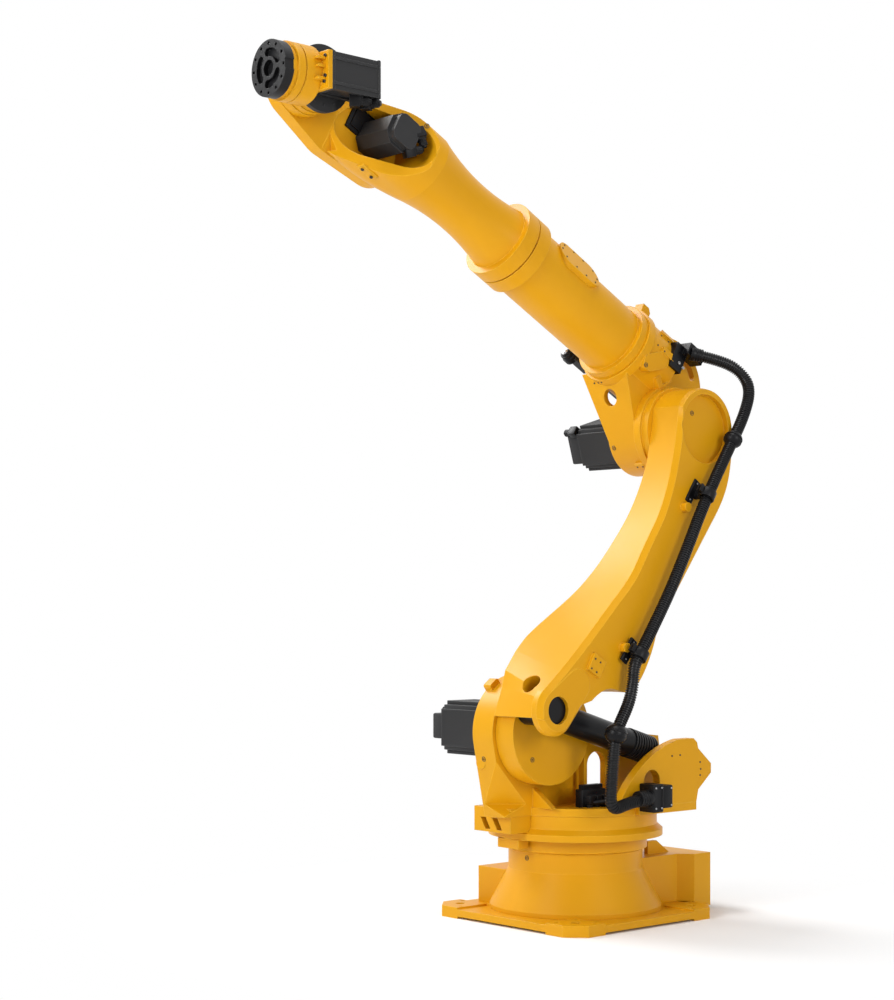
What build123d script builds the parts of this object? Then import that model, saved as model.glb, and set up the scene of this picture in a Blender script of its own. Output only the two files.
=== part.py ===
from build123d import *
import os
from math import cos, radians, sin, tan

os.makedirs("parts", exist_ok=True)

# Common clearances
cut_overrun_length = 20
turn_gap = 0.5
fit_gap = 0.5
swing_gap = 5

# Base plate: square, on four corner pads that are bolted to the floor
base_width = 718
base_corner_width = 60
plate_bottom_height = 8
plate_thickness = 24
pad_height = 39
pad_width = 140
bolt_edge_distance = 74
bolt_hole_dia = 33
jack_edge_distance = 33
jack_side_distance = 123
jack_hole_dia = 16

# Base casting: a foot band, a cone, a neck and a bearing band
foot_radius = 300
foot_band_height = 16
cone_height = 126
neck_radius = 234
neck_height = 66
neck_flare_height = 7
band_radius = 250
band_height = 43

# Boxes cast on to the base: one at the side, one at the rear for the cables
side_box_length = 348
side_box_edge_distance = 47
side_box_height = 128
rear_box_width = 300
rear_mouth_width = 390
rear_flare_length = 46
rear_mouth_length = 85
rear_box_height = 168
rear_skirt_height = 22
panel_thickness = 12
panel_width = 330
panel_height = 144
panel_sill_height = 26
rear_rib_length = 110
rear_rib_tip_length = 45
rear_rib_height = 46
rear_rib_thickness = 18
rear_rib_edge_distance = 60
rear_rib_start_distance = 41

# Turret: ring on the bearing, drum, deck
ring_radius = 304
ring_thickness = 22
ring_slope_height = 18
drum_radius = 284
drum_height = 44.5
deck_thickness = 27
deck_radius = 286
deck_rear_reach = 290
deck_right_reach = 305
deck_left_reach = 150

# Shoulder: place of the arm's axis, the column that carries it, its front foot
shoulder_reach = 265
shoulder_rise_height = 258
column_left_reach = 31
column_right_reach = 67
column_radius = 192
column_rear_reach = 20
column_front_reach = 402
foot_front_reach = 370
foot_height = 57
foot_left_reach = 118
foot_right_reach = 62
foot_slot_width = 26
foot_slot_height = 40
foot_slot_slant_width = 24
foot_slot_spacing = 58
foot_slot_depth = 60
foot_slot_distance = 33
gusset_height = 66
gusset_reach = 96
gusset_thickness = 22
gusset_rear_distance = 15
facet_front_reach = 144
facet_drop = 130
facet_forward_share = 0.55
facet_side_share = 0.66
facet_down_share = 0.51
eye_lug_angle = 53
eye_lug_length = 40
eye_lug_width = 44
eye_lug_radius = 8
eye_lug_thickness = 34
plug_lug_radius = 22
plug_lug_length = 60
plug_lug_reach = 176
plug_lug_drop = 102
stop_width = 110
stop_depth = 44
stop_height = 32
stop_angle = -4

# Shoulder motor on the far side of the column
j2_flange_width = 200
j2_flange_thickness = 22
j2_flange_radius = 22
j2_motor_width = 186
j2_motor_corner_width = 48
j2_motor_length = 252
j2_cap_width = 104
j2_cap_length = 92
j2_cap_corner_width = 14

# Rear fork that carries the foot of the balancer
fork_near_thickness = 33
fork_far_thickness = 26
fork_far_reach = 122
fork_height = 222
fork_foot_height = 22
fork_front_reach = 92
fork_rise_reach = 51
fork_rise_height = 164
fork_top_reach = 207
fork_shoulder_reach = 276
fork_corner_width = 18
fork_corner_height = 15
fork_neck_reach = 300
fork_neck_height = 186
fork_nose_reach = 367
fork_nose_bottom_height = 98
fork_nose_height = 32
fork_heel_height = 42
fork_arch_reach = 63
fork_arch_height = 84
fork_arch_radius = 40
far_top_reach = 129
far_rise_height = 18
far_front_reach = 80
far_arch_reach = 20
far_arch_radius = 45
far_arch_height = 136

# Lower arm: leans back from the shoulder to the elbow
arm_lean = 31
arm_length = 1220
shoulder_gap = 1
arm_bottom_width = 235
arm_top_width = 135
arm_top_inner_reach = 150
arm_taper_start_length = 260
arm_taper_end_length = 185
arm_head_radius = 145
arm_head_from_angle = -60
arm_head_turn_angle = 150
arm_rear_reach = 218
arm_bevel_width = 17
head_bevel_share = 0.3
hub_radius = 178
hub_width = 84
ear_thickness = 39
ear_radius = 86
pin_along_length = 12
pin_front_reach = 143
pin_radius = 46
pin_inset_depth = 14
slot_top_length = 190
web_hole_radius = 34
web_hole_length = 66
web_hole_reach = 213
web_inner_reach = 163
ear_root_length = 128
ear_root_reach = 106
ear_root_radius = 70
ear_bevel_angle = 45
dish_radius = 122
dish_depth = 22
arm_pad_width = 62
arm_pad_thickness = 12
arm_pad_length = 224
arm_pad_reach = 68
post_radius = 16
post_length = 24
post_low_share = 0.28
post_low_reach = -16
post_mid_share = 0.752
post_mid_reach = -39

# Points of the arm's two outlines: share of the arm's length, share of the reach
arm_rear_shares = ((0.97, 0.88), (0.89, 0.99), (0.78, 0.95), (0.65, 0.86), (0.5, 0.76), (0.38, 0.72))
near_front_shares = (
    (0.925, 0.467), (0.817, 0.284), (0.675, 0.185), (0.58, 0.218), (0.48, 0.25), (0.376, 0.393),
    (0.238, 0.603), (0.109, 0.825),
)
near_foot_shares = ((0.029, 0.983), (0.01, 0.998), (-0.041, 0.886))
near_arch_shares = ((0.298, 0.70), (0.18, 0.49), (0.159, 0.165), (0.118, -0.041), (0.095, -0.101))
far_front_shares = (
    (0.925, 0.467), (0.817, 0.284), (0.675, 0.185), (0.6, 0.21), (0.496, 0.297), (0.426, 0.393),
    (0.316, 0.633), (0.157, 0.939),
)
far_foot_shares = ((0.091, 0.978), (0.045, 0.907), (-0.037, 0.83))
far_arch_shares = ((0.298, 0.68), (0.21, 0.5), (0.16, 0.36), (0.1, 0.3), (0.034, 0.3))

# Balancer: a tube on the arm's pin, a rod on a trunnion in the fork
balancer_reach = 208
balancer_length = 690
balancer_slope = 16.9
tube_radius = 47
tube_length = 440
tube_bore_radius = 38
tube_floor_length = 77
eye_width = 96
eye_radius = 53
bellows_radius = 51
bellows_root_radius = 45
bellows_fold_length = 13
bellows_count = 9
rod_radius = 22
rod_length = 380
trunnion_radius = 44
fork_pin_radius = 24

# Elbow: carries the shaft of the forearm above its own joint
fore_pitch = 28.2
elbow_offset = 200
elbow_right_reach = 92
elbow_left_reach = 45
elbow_boss_radius = 152
elbow_plate_thickness = 42
elbow_plate_radius = 186
elbow_plate_length = 70
elbow_plate_drop = 60
elbow_slot_radius = 148
elbow_slot_width = 26
elbow_slot_from_angle = 88
elbow_slot_turn_angle = 44
barrel_radius = 140
barrel_start_length = 100
barrel_end_length = 250
barrel_ring_radius = 150
barrel_ring_length = 34
front_wall_thickness = 22
front_wall_height = 249
front_wall_angle = 49.1
front_wall_top_reach = 125
front_hole_radius = 31
front_hole_height = 157
front_hole_reach = 5
elbow_lug_length = 126
elbow_lug_rise = 140
elbow_lug_width = 71
elbow_lug_height = 47
elbow_lug_depth = 36
elbow_lug_angle = 122
elbow_lug_hole_width = 27
oval_length = 205
oval_drop = 35
oval_width = 130
oval_height = 62
oval_reach = 146
oval_angle = 140
barrel_pad_length = 62
barrel_pad_width = 24
barrel_pad_thickness = 10
barrel_pad_distance = 165
barrel_pad_angles = (42, 8)
top_lug_length = 44
top_lug_height = 56
top_lug_width = 40
top_lug_corner_width = 14

# Elbow joint's ring, elbow motor, motor of the forearm's turn
j3_ring_radius = 165
j3_ring_step_radius = 156
j3_ring_thickness = 30
j3_motor_width = 172
j3_motor_drop = 28
j3_motor_corner_width = 44
j3_motor_length = 200
j3_cap_width = 150
j3_cap_length = 70
j4_motor_width = 110
j4_motor_reach = 190
j4_motor_rise = 35
j4_motor_rear_length = 170
j4_motor_length = 285
j4_plug_width = 34
j4_plug_drop = 70
j4_plug_length = 90
j4_plug_reach = 12

# Forearm: joint ring, tube, collar with a groove, waist, open housing
tube_ring_radius = 142
tube_ring_length = 34
fore_tube_radius = 123
fore_tube_length = 508
collar_radius = 140
collar_length = 54
groove_depth = 8
groove_length = 6
cast_start_radius = 116
waist_radius = 98
waist_length = 220
house_start_radius = 123
house_flare_length = 170
house_rise_length = 120
house_length = 190
house_width = 260
house_height = 244
house_end_height = 228
house_corner_radius = 98
house_end_corner_radius = 92
house_left_offset = 17
house_drop = 6
house_end_drop = 18
window_radius = 80
window_length = 100
window_front_radius = 88
window_front_drop = 8
lip_length = 80
lip_reach = 113
wrist_distance = 160
pocket_floor_reach = 98
cheek_thickness = 50
cheek_radius = 104
cover_length = 212
cover_width = 104
cover_thickness = 8
cover_distance = 222
cover_turn = 55

# Wrist motor in the housing, ring of the wrist's joint
j5_motor_width = 116
j5_motor_corner_width = 30
j5_motor_lead_length = 36
j5_motor_rise = 16
j5_motor_reach = 62
j5_cap_width = 96
j5_cap_length = 26
j5_cap_radius = 26
j5_ring_radius = 102
j5_ring_thickness = 36

# Wrist: core on the joint's ring, barrel of the last shaft, which lies level
wrist_core_radius = 99
wrist_step_radius = 94
wrist_step_thickness = 24
hub_disc_radius = 106
hub_disc_thickness = 16
wrist_neck_radius = 58
wrist_body_radius = 92
wrist_body_length = 64
wrist_groove_radius = 88
wrist_groove_length = 4
wrist_ring_length = 26
wrist_collar_radius = 84
wrist_collar_length = 16
wrist_ring_distance = 124
wrist_swing_angle = 125
motor_plate_thickness = 15
motor_plate_width = 104
motor_plate_height = 118
j6_motor_width = 96
j6_motor_height = 100
j6_motor_length = 195
j6_motor_radius = 14
j6_rail_width = 16
j6_rail_thickness = 8

# Tool flange: pilot bore, three kidney slots and a ring of tapped holes
flange_radius = 88
flange_thickness = 33.5
flange_pitch_dia = 152
flange_hole_dia = 10.5
flange_hole_count = 12
flange_hole_depth = 18
flange_pilot_radius = 25
flange_pilot_depth = 18
kidney_radius = 49
kidney_width = 26
kidney_depth = 14
kidney_turn_angle = 74
kidney_count = 3
kidney_start_angle = 180
notch_width = 30
notch_depth = 5

# Hose: corrugated, from the turret to the arm and on to the elbow
hose_radius = 21
hose_bend_share = 0.45
hose_turret_route = (
    (0, 346, 436), (165, 346, 428), (167, 346, 560), (154, 346, 660), (91.1, 346, 855.3),
    (55.3, 346, 903.6),
)
hose_arm_low_route = ((55, 346, 904), (-69, 346, 1071), (-175, 346, 1242))
hose_arm_high_offsets = ((57.3, 340, -235.8), (-128.7, 313, -9.8))
hose_elbow_offsets = (
    (-129, 313, -9.4), (-181.7, 305.3, 54.6), (-228.7, 297, 156.2), (-214.7, 262, 219.2),
    (-154.7, 226, 257.2), (-62.7, 165, 279.2),
)

# Clamps, block and bracket of the hose
block_length = 165
block_height = 96
block_depth = 68
block_rise_height = 34
clamp_radius = 30
clamp_length = 40
clamp_post_radius = 15
clamp_post_length = 70
clamp_low_share = 0.1
bracket_length = 84
bracket_height = 44
bracket_along_length = 66
bracket_rise = 82
bracket_reach = 174
bracket_depth = 52
bracket_plate_length = 62
bracket_plate_height = 96
bracket_plate_along_length = 115
bracket_plate_rise = 37
bracket_plate_reach = 150
bracket_plate_depth = 34

# Heights of the base and turret
plate_top = plate_bottom_height + plate_thickness
foot_top = plate_top + foot_band_height
neck_bottom = foot_top + cone_height
neck_top = neck_bottom + neck_height
band_bottom = neck_top + neck_flare_height
base_top = band_bottom + band_height
ring_bottom = base_top + turn_gap
ring_top = ring_bottom + ring_thickness
deck_bottom = ring_top + ring_slope_height + drum_height
deck_top = deck_bottom + deck_thickness
fork_top = deck_top + fork_height
half_base = base_width / 2
bolt_spacing = base_width - 2 * bolt_edge_distance
jack_wide_spacing = base_width - 2 * jack_edge_distance
jack_near_spacing = base_width - 2 * jack_side_distance
side_box_reach = half_base - side_box_edge_distance
rear_flare_reach = half_base + rear_flare_length
rear_reach = rear_flare_reach + rear_mouth_length
rear_box_top = plate_top + rear_box_height
rear_box_bottom = plate_top - rear_skirt_height
rear_rib_start = neck_radius + rear_rib_start_distance
rear_rib_side = rear_box_width / 2 - rear_rib_edge_distance

# Places and planes of the joints
lean = radians(arm_lean)
pitch = radians(fore_pitch)
slope = radians(balancer_slope)
j2_x = shoulder_reach
j2_z = deck_top + shoulder_rise_height
j3_x = j2_x - arm_length * sin(lean)
j3_z = j2_z + arm_length * cos(lean)
axis_x = j3_x - elbow_offset * sin(pitch)
axis_z = j3_z + elbow_offset * cos(pitch)
arm_along = (-sin(lean), 0, cos(lean))
fore_along = (cos(pitch), 0, sin(pitch))
arm_plane = Plane(origin=(j2_x, 0, j2_z), x_dir=arm_along, z_dir=(0, 1, 0))
arm_plan = Plane(origin=(j2_x, 0, j2_z), x_dir=arm_along, z_dir=(-cos(lean), 0, -sin(lean)))
fore_plane = Plane(origin=(j3_x, 0, j3_z), x_dir=fore_along, z_dir=(0, -1, 0))
shaft_plane = Plane(origin=(axis_x, 0, axis_z), x_dir=fore_along, z_dir=(0, -1, 0))
shaft_plan = Plane(origin=(axis_x, 0, axis_z), x_dir=fore_along, z_dir=(-sin(pitch), 0, cos(pitch)))
shaft_end = Plane(origin=(axis_x, 0, axis_z), x_dir=(0, 1, 0), z_dir=fore_along)
fore_axis = Axis((axis_x, 0, axis_z), fore_along)

# Places along the arm and across it
arm_inner = column_right_reach + shoulder_gap
arm_outer = arm_inner + arm_bottom_width
arm_outer_top = arm_top_inner_reach + arm_top_width
arm_front_reach = pin_front_reach + ear_radius
hub_outer = arm_inner + hub_width
arm_narrowing = (arm_outer - arm_outer_top) / arm_length
ear_inner = arm_outer - ear_thickness
post_low = arm_length * post_low_share
post_mid = arm_length * post_mid_share
pin_x = j2_x - pin_along_length * sin(lean) + pin_front_reach * cos(lean)
pin_z = j2_z + pin_along_length * cos(lean) + pin_front_reach * sin(lean)
foot_x = pin_x - balancer_length * cos(slope)
foot_z = pin_z - balancer_length * sin(slope)
near_plane = Plane(
    origin=(j2_x, arm_outer, j2_z),
    x_dir=(-sin(lean), -arm_narrowing, cos(lean)),
    z_dir=(-sin(lean) * arm_narrowing, 1, cos(lean) * arm_narrowing),
)
tube_dir = (-cos(slope), 0, -sin(slope))
rod_dir = (cos(slope), 0, sin(slope))
tube_plane = Plane(origin=(pin_x, balancer_reach, pin_z), x_dir=(0, 1, 0), z_dir=tube_dir)
rod_plane = Plane(origin=(foot_x, balancer_reach, foot_z), x_dir=(0, 1, 0), z_dir=rod_dir)

# Foot of the elbow's front wall, where it leaves the boss
wall_rise = radians(front_wall_angle)
wall_foot_along = elbow_boss_radius * sin(wall_rise)
wall_foot_up = -elbow_boss_radius * cos(wall_rise)

# Routes of the hose that follow the elbow, and places of its clamps
hose_arm_route = [*hose_arm_low_route, *[(j3_x + x, y, j3_z + z) for x, y, z in hose_arm_high_offsets]]
hose_elbow_route = [(j3_x + x, y, j3_z + z) for x, y, z in hose_elbow_offsets]
clamp_low_dir = Vector(*hose_arm_route[1]) - Vector(*hose_arm_route[0])
clamp_mid_dir = Vector(*hose_arm_route[-1]) - Vector(*hose_arm_route[-3])
clamp_top_dir = Vector(*hose_arm_route[-1]) - Vector(*hose_arm_route[-2])
clamp_low_place = Vector(*hose_arm_route[0]) + clamp_low_dir * clamp_low_share
clamp_mid_place = Vector(*hose_arm_route[-2])
clamp_top_place = Vector(*hose_arm_route[-1])

# Places along the forearm's shaft
barrel_front = barrel_end_length + barrel_ring_length
tube_ring_end = barrel_front + tube_ring_length
collar_start = tube_ring_end + fore_tube_length
groove_start = collar_start + collar_length
groove_end = groove_start + groove_length
collar_end = groove_end + collar_length
waist_along = collar_end + waist_length
house_start = waist_along + house_flare_length
house_full = house_start + house_rise_length
house_end = house_full + house_length
j5_along = house_end + wrist_distance
j5_x = axis_x + j5_along * cos(pitch)
j5_z = axis_z + j5_along * sin(pitch)
wrist_plane = Plane(origin=(j5_x, 0, j5_z), x_dir=(1, 0, 0), z_dir=(0, -1, 0))
wrist_end = Plane(origin=(j5_x, 0, j5_z), x_dir=(0, 1, 0), z_dir=(1, 0, 0))
j5_ring_reach = pocket_floor_reach - j5_ring_thickness
wrist_collar_distance = wrist_ring_distance + wrist_ring_length
wrist_ring_end = wrist_collar_distance + wrist_collar_length
wrist_sweep_reach = wrist_body_radius + swing_gap
wrist_sweep_length = wrist_ring_end + turn_gap + flange_thickness + swing_gap

# Base plate
with BuildPart() as base_plate:
    with BuildSketch(Plane.XY.offset(plate_bottom_height)) as plate_outline:
        Rectangle(base_width, base_width)
        chamfer(plate_outline.vertices(), base_corner_width)
    extrude(amount=plate_thickness)
    with BuildSketch():
        with PolarLocations(0, 4):
            Polygon(
                (half_base - pad_width, half_base - pad_width),
                (half_base, half_base - pad_width),
                (half_base, half_base - base_corner_width),
                (half_base - base_corner_width, half_base),
                (half_base - pad_width, half_base),
                align=None,
            )
    extrude(amount=pad_height)
    with GridLocations(bolt_spacing, bolt_spacing, 2, 2):
        Hole(bolt_hole_dia / 2)
    with GridLocations(jack_near_spacing, jack_wide_spacing, 2, 2):
        Hole(jack_hole_dia / 2)
    with GridLocations(jack_wide_spacing, jack_near_spacing, 2, 2):
        Hole(jack_hole_dia / 2)
base_plate.part.label = "base_plate"
export_step(base_plate.part, "parts/base_plate.step")

# Base casting, turned
with BuildPart() as base_cone:
    with BuildSketch(Plane.XZ):
        Polygon(
            (0, plate_top),
            (foot_radius, plate_top),
            (foot_radius, foot_top),
            (neck_radius, neck_bottom),
            (neck_radius, neck_top),
            (band_radius, band_bottom),
            (band_radius, base_top),
            (0, base_top),
            align=None,
        )
    revolve(axis=Axis.Z)
base_cone.part.label = "base_cone"
export_step(base_cone.part, "parts/base_cone.step")

# Side box, cut to the cone
with BuildPart() as base_side_box:
    with BuildSketch(Plane.XY.offset(plate_top)):
        with Locations((0, -side_box_reach / 2)):
            Rectangle(side_box_length, side_box_reach)
    extrude(amount=side_box_height)
    add(base_cone.part, mode=Mode.SUBTRACT)
base_side_box.part.label = "base_side_box"
export_step(base_side_box.part, "parts/base_side_box.step")

# Rear box: flares out to a mouth that carries the cable panel
with BuildPart() as base_rear_box:
    with BuildSketch(Plane.XY.offset(plate_top)):
        Polygon(
            (0, -rear_box_width / 2),
            (0, rear_box_width / 2),
            (-half_base, rear_box_width / 2),
            (-rear_flare_reach, rear_mouth_width / 2),
            (-rear_reach, rear_mouth_width / 2),
            (-rear_reach, -rear_mouth_width / 2),
            (-rear_flare_reach, -rear_mouth_width / 2),
            (-half_base, -rear_box_width / 2),
            align=None,
        )
    extrude(amount=rear_box_height)
    with BuildSketch(Plane.XY.offset(rear_box_bottom)):
        with Locations((-(rear_flare_reach + rear_reach) / 2, 0)):
            Rectangle(rear_mouth_length, rear_mouth_width)
    extrude(amount=rear_skirt_height)
    with BuildSketch(Plane.XZ.offset(-rear_rib_side)):
        Polygon(
            (-rear_rib_start, rear_box_top),
            (-rear_rib_start - rear_rib_length, rear_box_top),
            (-rear_rib_start - rear_rib_tip_length, rear_box_top + rear_rib_height),
            (-rear_rib_start, rear_box_top + rear_rib_height),
            align=None,
        )
    extrude(amount=rear_rib_thickness)
    add(base_cone.part, mode=Mode.SUBTRACT)
base_rear_box.part.label = "base_rear_box"
export_step(base_rear_box.part, "parts/base_rear_box.step")

with BuildPart() as base_panel:
    with BuildSketch(Plane.YZ.offset(-rear_reach)):
        with Locations((0, rear_box_bottom + panel_sill_height + panel_height / 2)):
            Rectangle(panel_width, panel_height)
    extrude(amount=-panel_thickness)
base_panel.part.label = "base_panel"
export_step(base_panel.part, "parts/base_panel.step")

# Turret ring: overhangs the bearing band, then slopes in to the drum
with BuildPart() as turret_ring:
    with BuildSketch(Plane.XZ):
        Polygon(
            (0, ring_bottom),
            (ring_radius, ring_bottom),
            (ring_radius, ring_top),
            (drum_radius, ring_top + ring_slope_height),
            (drum_radius, deck_bottom),
            (0, deck_bottom),
            align=None,
        )
    revolve(axis=Axis.Z)
turret_ring.part.label = "turret_ring"
export_step(turret_ring.part, "parts/turret_ring.step")

# Turret frame: shoulder column with its facet, deck, front foot with slots, gusset, lugs
facet_plane = Plane(
    origin=(j2_x + facet_front_reach, column_right_reach, j2_z - facet_drop),
    z_dir=(facet_forward_share, facet_side_share, -facet_down_share),
)
with BuildPart() as turret_frame:
    with BuildSketch(Plane.XZ.offset(-column_right_reach)):
        with Locations((j2_x, j2_z)):
            Circle(column_radius)
        with Locations(((column_rear_reach + column_front_reach) / 2, (deck_bottom + deck_top) / 2)):
            Rectangle(column_front_reach - column_rear_reach, deck_thickness)
        make_hull()
    extrude(amount=column_right_reach + column_left_reach)
    with BuildSketch(facet_plane):
        Rectangle(shoulder_reach, shoulder_reach)
    extrude(amount=column_radius, mode=Mode.SUBTRACT)
    with BuildSketch(Plane.XY.offset(deck_bottom)):
        Circle(deck_radius)
        with Locations((-deck_rear_reach / 2, (deck_right_reach - deck_left_reach) / 2)):
            Rectangle(deck_rear_reach, deck_right_reach + deck_left_reach)
    extrude(amount=deck_thickness)
    with BuildSketch(Plane.XY.offset(deck_bottom - foot_height)):
        with Locations((foot_front_reach / 2, (foot_right_reach - foot_left_reach) / 2)):
            Rectangle(foot_front_reach, foot_right_reach + foot_left_reach)
    extrude(amount=foot_height + deck_thickness)
    with BuildSketch(Plane.YZ.offset(foot_front_reach)):
        with Locations((-foot_slot_distance, deck_bottom - foot_height / 2)):
            with GridLocations(foot_slot_spacing, foot_slot_spacing, 2, 1):
                Polygon(
                    (-(foot_slot_width + foot_slot_slant_width) / 2, foot_slot_height / 2),
                    ((foot_slot_width - foot_slot_slant_width) / 2, foot_slot_height / 2),
                    ((foot_slot_width + foot_slot_slant_width) / 2, -foot_slot_height / 2),
                    ((foot_slot_slant_width - foot_slot_width) / 2, -foot_slot_height / 2),
                    align=None,
                )
    extrude(amount=-foot_slot_depth, mode=Mode.SUBTRACT)
    with BuildSketch(Plane.YZ.offset(j2_x - gusset_rear_distance)):
        Polygon(
            (column_right_reach, deck_top),
            (column_right_reach + gusset_reach, deck_top),
            (column_right_reach, deck_top + gusset_height),
            align=None,
        )
    extrude(amount=gusset_thickness)
    with BuildSketch(Plane.XZ.offset(column_left_reach)):
        with Locations((j2_x, j2_z)):
            with PolarLocations(column_radius, 1, start_angle=eye_lug_angle):
                RectangleRounded(eye_lug_length, eye_lug_width, eye_lug_radius)
    extrude(amount=-eye_lug_thickness)
    with BuildSketch(Plane.YZ.offset(j2_x + plug_lug_reach)):
        with Locations((plug_lug_radius - column_left_reach, j2_z - plug_lug_drop)):
            Circle(plug_lug_radius)
    extrude(amount=-plug_lug_length)
    add(turret_ring.part, mode=Mode.SUBTRACT)
turret_frame.part.label = "turret_frame"
export_step(turret_frame.part, "parts/turret_frame.step")

# Stop block under the ring
with BuildPart() as turn_stop:
    with BuildSketch(Plane.XY.offset(ring_bottom)):
        with PolarLocations(ring_radius - stop_depth / 2, 1, start_angle=stop_angle):
            Rectangle(stop_depth, stop_width)
    extrude(amount=-stop_height)
turn_stop.part.label = "turn_stop"
export_step(turn_stop.part, "parts/turn_stop.step")

# Shoulder motor: flange, body with broken corners, rear cap, plug
with BuildPart() as j2_motor:
    with BuildSketch(Plane.XZ.offset(column_left_reach)):
        with Locations((j2_x, j2_z)):
            RectangleRounded(j2_flange_width, j2_flange_width, j2_flange_radius)
    extrude(amount=j2_flange_thickness)
    with BuildSketch(Plane.XZ.offset(column_left_reach + j2_flange_thickness)) as j2_motor_face:
        with Locations((j2_x, j2_z)):
            Rectangle(j2_motor_width, j2_motor_width)
        chamfer(j2_motor_face.vertices(), j2_motor_corner_width)
    extrude(amount=j2_motor_length)
    j2_cap_plane = Plane.XZ.offset(column_left_reach + j2_flange_thickness + j2_motor_length)
    with BuildSketch(j2_cap_plane) as j2_cap_face:
        with Locations((j2_x, j2_z)):
            Rectangle(j2_cap_width, j2_cap_width)
        chamfer(j2_cap_face.vertices(), j2_cap_corner_width)
    extrude(amount=j2_cap_length)
j2_motor.part.label = "j2_motor"
export_step(j2_motor.part, "parts/j2_motor.step")

# Near plate of the fork, with the arched opening for the hose
with BuildPart() as fork_near:
    with BuildSketch(Plane.XZ.offset(-deck_right_reach)):
        with BuildLine():
            rise = ThreePointArc(
                (fork_front_reach, deck_top + fork_foot_height),
                (-fork_rise_reach, deck_top + fork_rise_height),
                (-fork_top_reach, fork_top),
            )
            Polyline(
                rise @ 1,
                (-fork_shoulder_reach, fork_top),
                (-fork_shoulder_reach - fork_corner_width, fork_top - fork_corner_height),
                (-fork_neck_reach, deck_top + fork_neck_height),
                (-fork_nose_reach, deck_top + fork_nose_bottom_height + fork_nose_height),
                (-fork_nose_reach, deck_top + fork_nose_bottom_height),
                (-fork_neck_reach, deck_top + fork_heel_height),
                (-deck_rear_reach, deck_top),
                (fork_front_reach, deck_top),
                rise @ 0,
            )
        make_face()
        with Locations((-fork_arch_reach, deck_top + fork_arch_height)):
            Circle(fork_arch_radius, mode=Mode.SUBTRACT)
        with Locations((-fork_arch_reach, deck_top + fork_arch_height / 2)):
            Rectangle(2 * fork_arch_radius, fork_arch_height, mode=Mode.SUBTRACT)
    extrude(amount=fork_near_thickness)
fork_near.part.label = "fork_near"
export_step(fork_near.part, "parts/fork_near.step")

# Far plate of the fork, which runs forward to the column over a large arch
with BuildPart() as fork_far:
    with BuildSketch(Plane.XZ.offset(-fork_far_reach)):
        Polygon(
            (far_front_reach, deck_top),
            (far_front_reach, fork_top + far_rise_height),
            (-far_top_reach, fork_top + far_rise_height),
            (-fork_shoulder_reach - fork_corner_width, fork_top),
            (-fork_neck_reach, deck_top + fork_neck_height),
            (-fork_nose_reach, deck_top + fork_nose_bottom_height + fork_nose_height),
            (-fork_nose_reach, deck_top + fork_nose_bottom_height),
            (-fork_neck_reach, deck_top + fork_heel_height),
            (-deck_rear_reach, deck_top),
            align=None,
        )
        with Locations((far_arch_reach, deck_top + far_arch_height)):
            Circle(far_arch_radius, mode=Mode.SUBTRACT)
        with Locations((far_arch_reach, deck_top + far_arch_height / 2)):
            Rectangle(2 * far_arch_radius, far_arch_height, mode=Mode.SUBTRACT)
    extrude(amount=fork_far_thickness)
fork_far.part.label = "fork_far"
export_step(fork_far.part, "parts/fork_far.step")

# Pin across the fork
with BuildPart() as fork_pin:
    with BuildSketch(Plane.XZ.offset(fork_near_thickness - deck_right_reach)):
        with Locations((foot_x, foot_z)):
            Circle(fork_pin_radius)
    extrude(amount=deck_right_reach - fork_near_thickness - fork_far_reach)
fork_pin.part.label = "fork_pin"
export_step(fork_pin.part, "parts/fork_pin.step")


# One outline of the arm: front edge from the head to the knee, foot, then the rear edge and the arch
def arm_outline(front_shares, foot_shares, arch_shares, inset):
    head_radius = arm_head_radius - inset * head_bevel_share
    head = CenterArc((arm_length, 0), head_radius, arm_head_from_angle, arm_head_turn_angle)
    front_points = [(arm_length * a, arm_front_reach * b - inset) for a, b in front_shares]
    foot_points = [(arm_length * a, arm_front_reach * b - inset) for a, b in foot_shares]
    rear_points = [(arm_length * a, inset - arm_rear_reach * b) for a, b in arm_rear_shares]
    arch_points = [(arm_length * a, -arm_rear_reach * b) for a, b in arch_shares]
    front_edge = Spline(head @ 1, *front_points)
    foot_edge = Polyline(front_edge @ 1, *foot_points)
    rear_edge = Spline(head @ 0, *rear_points)
    arch_edge = Spline(rear_edge @ 1, *arch_points)
    Line(arch_edge @ 1, foot_edge @ 1)


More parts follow.
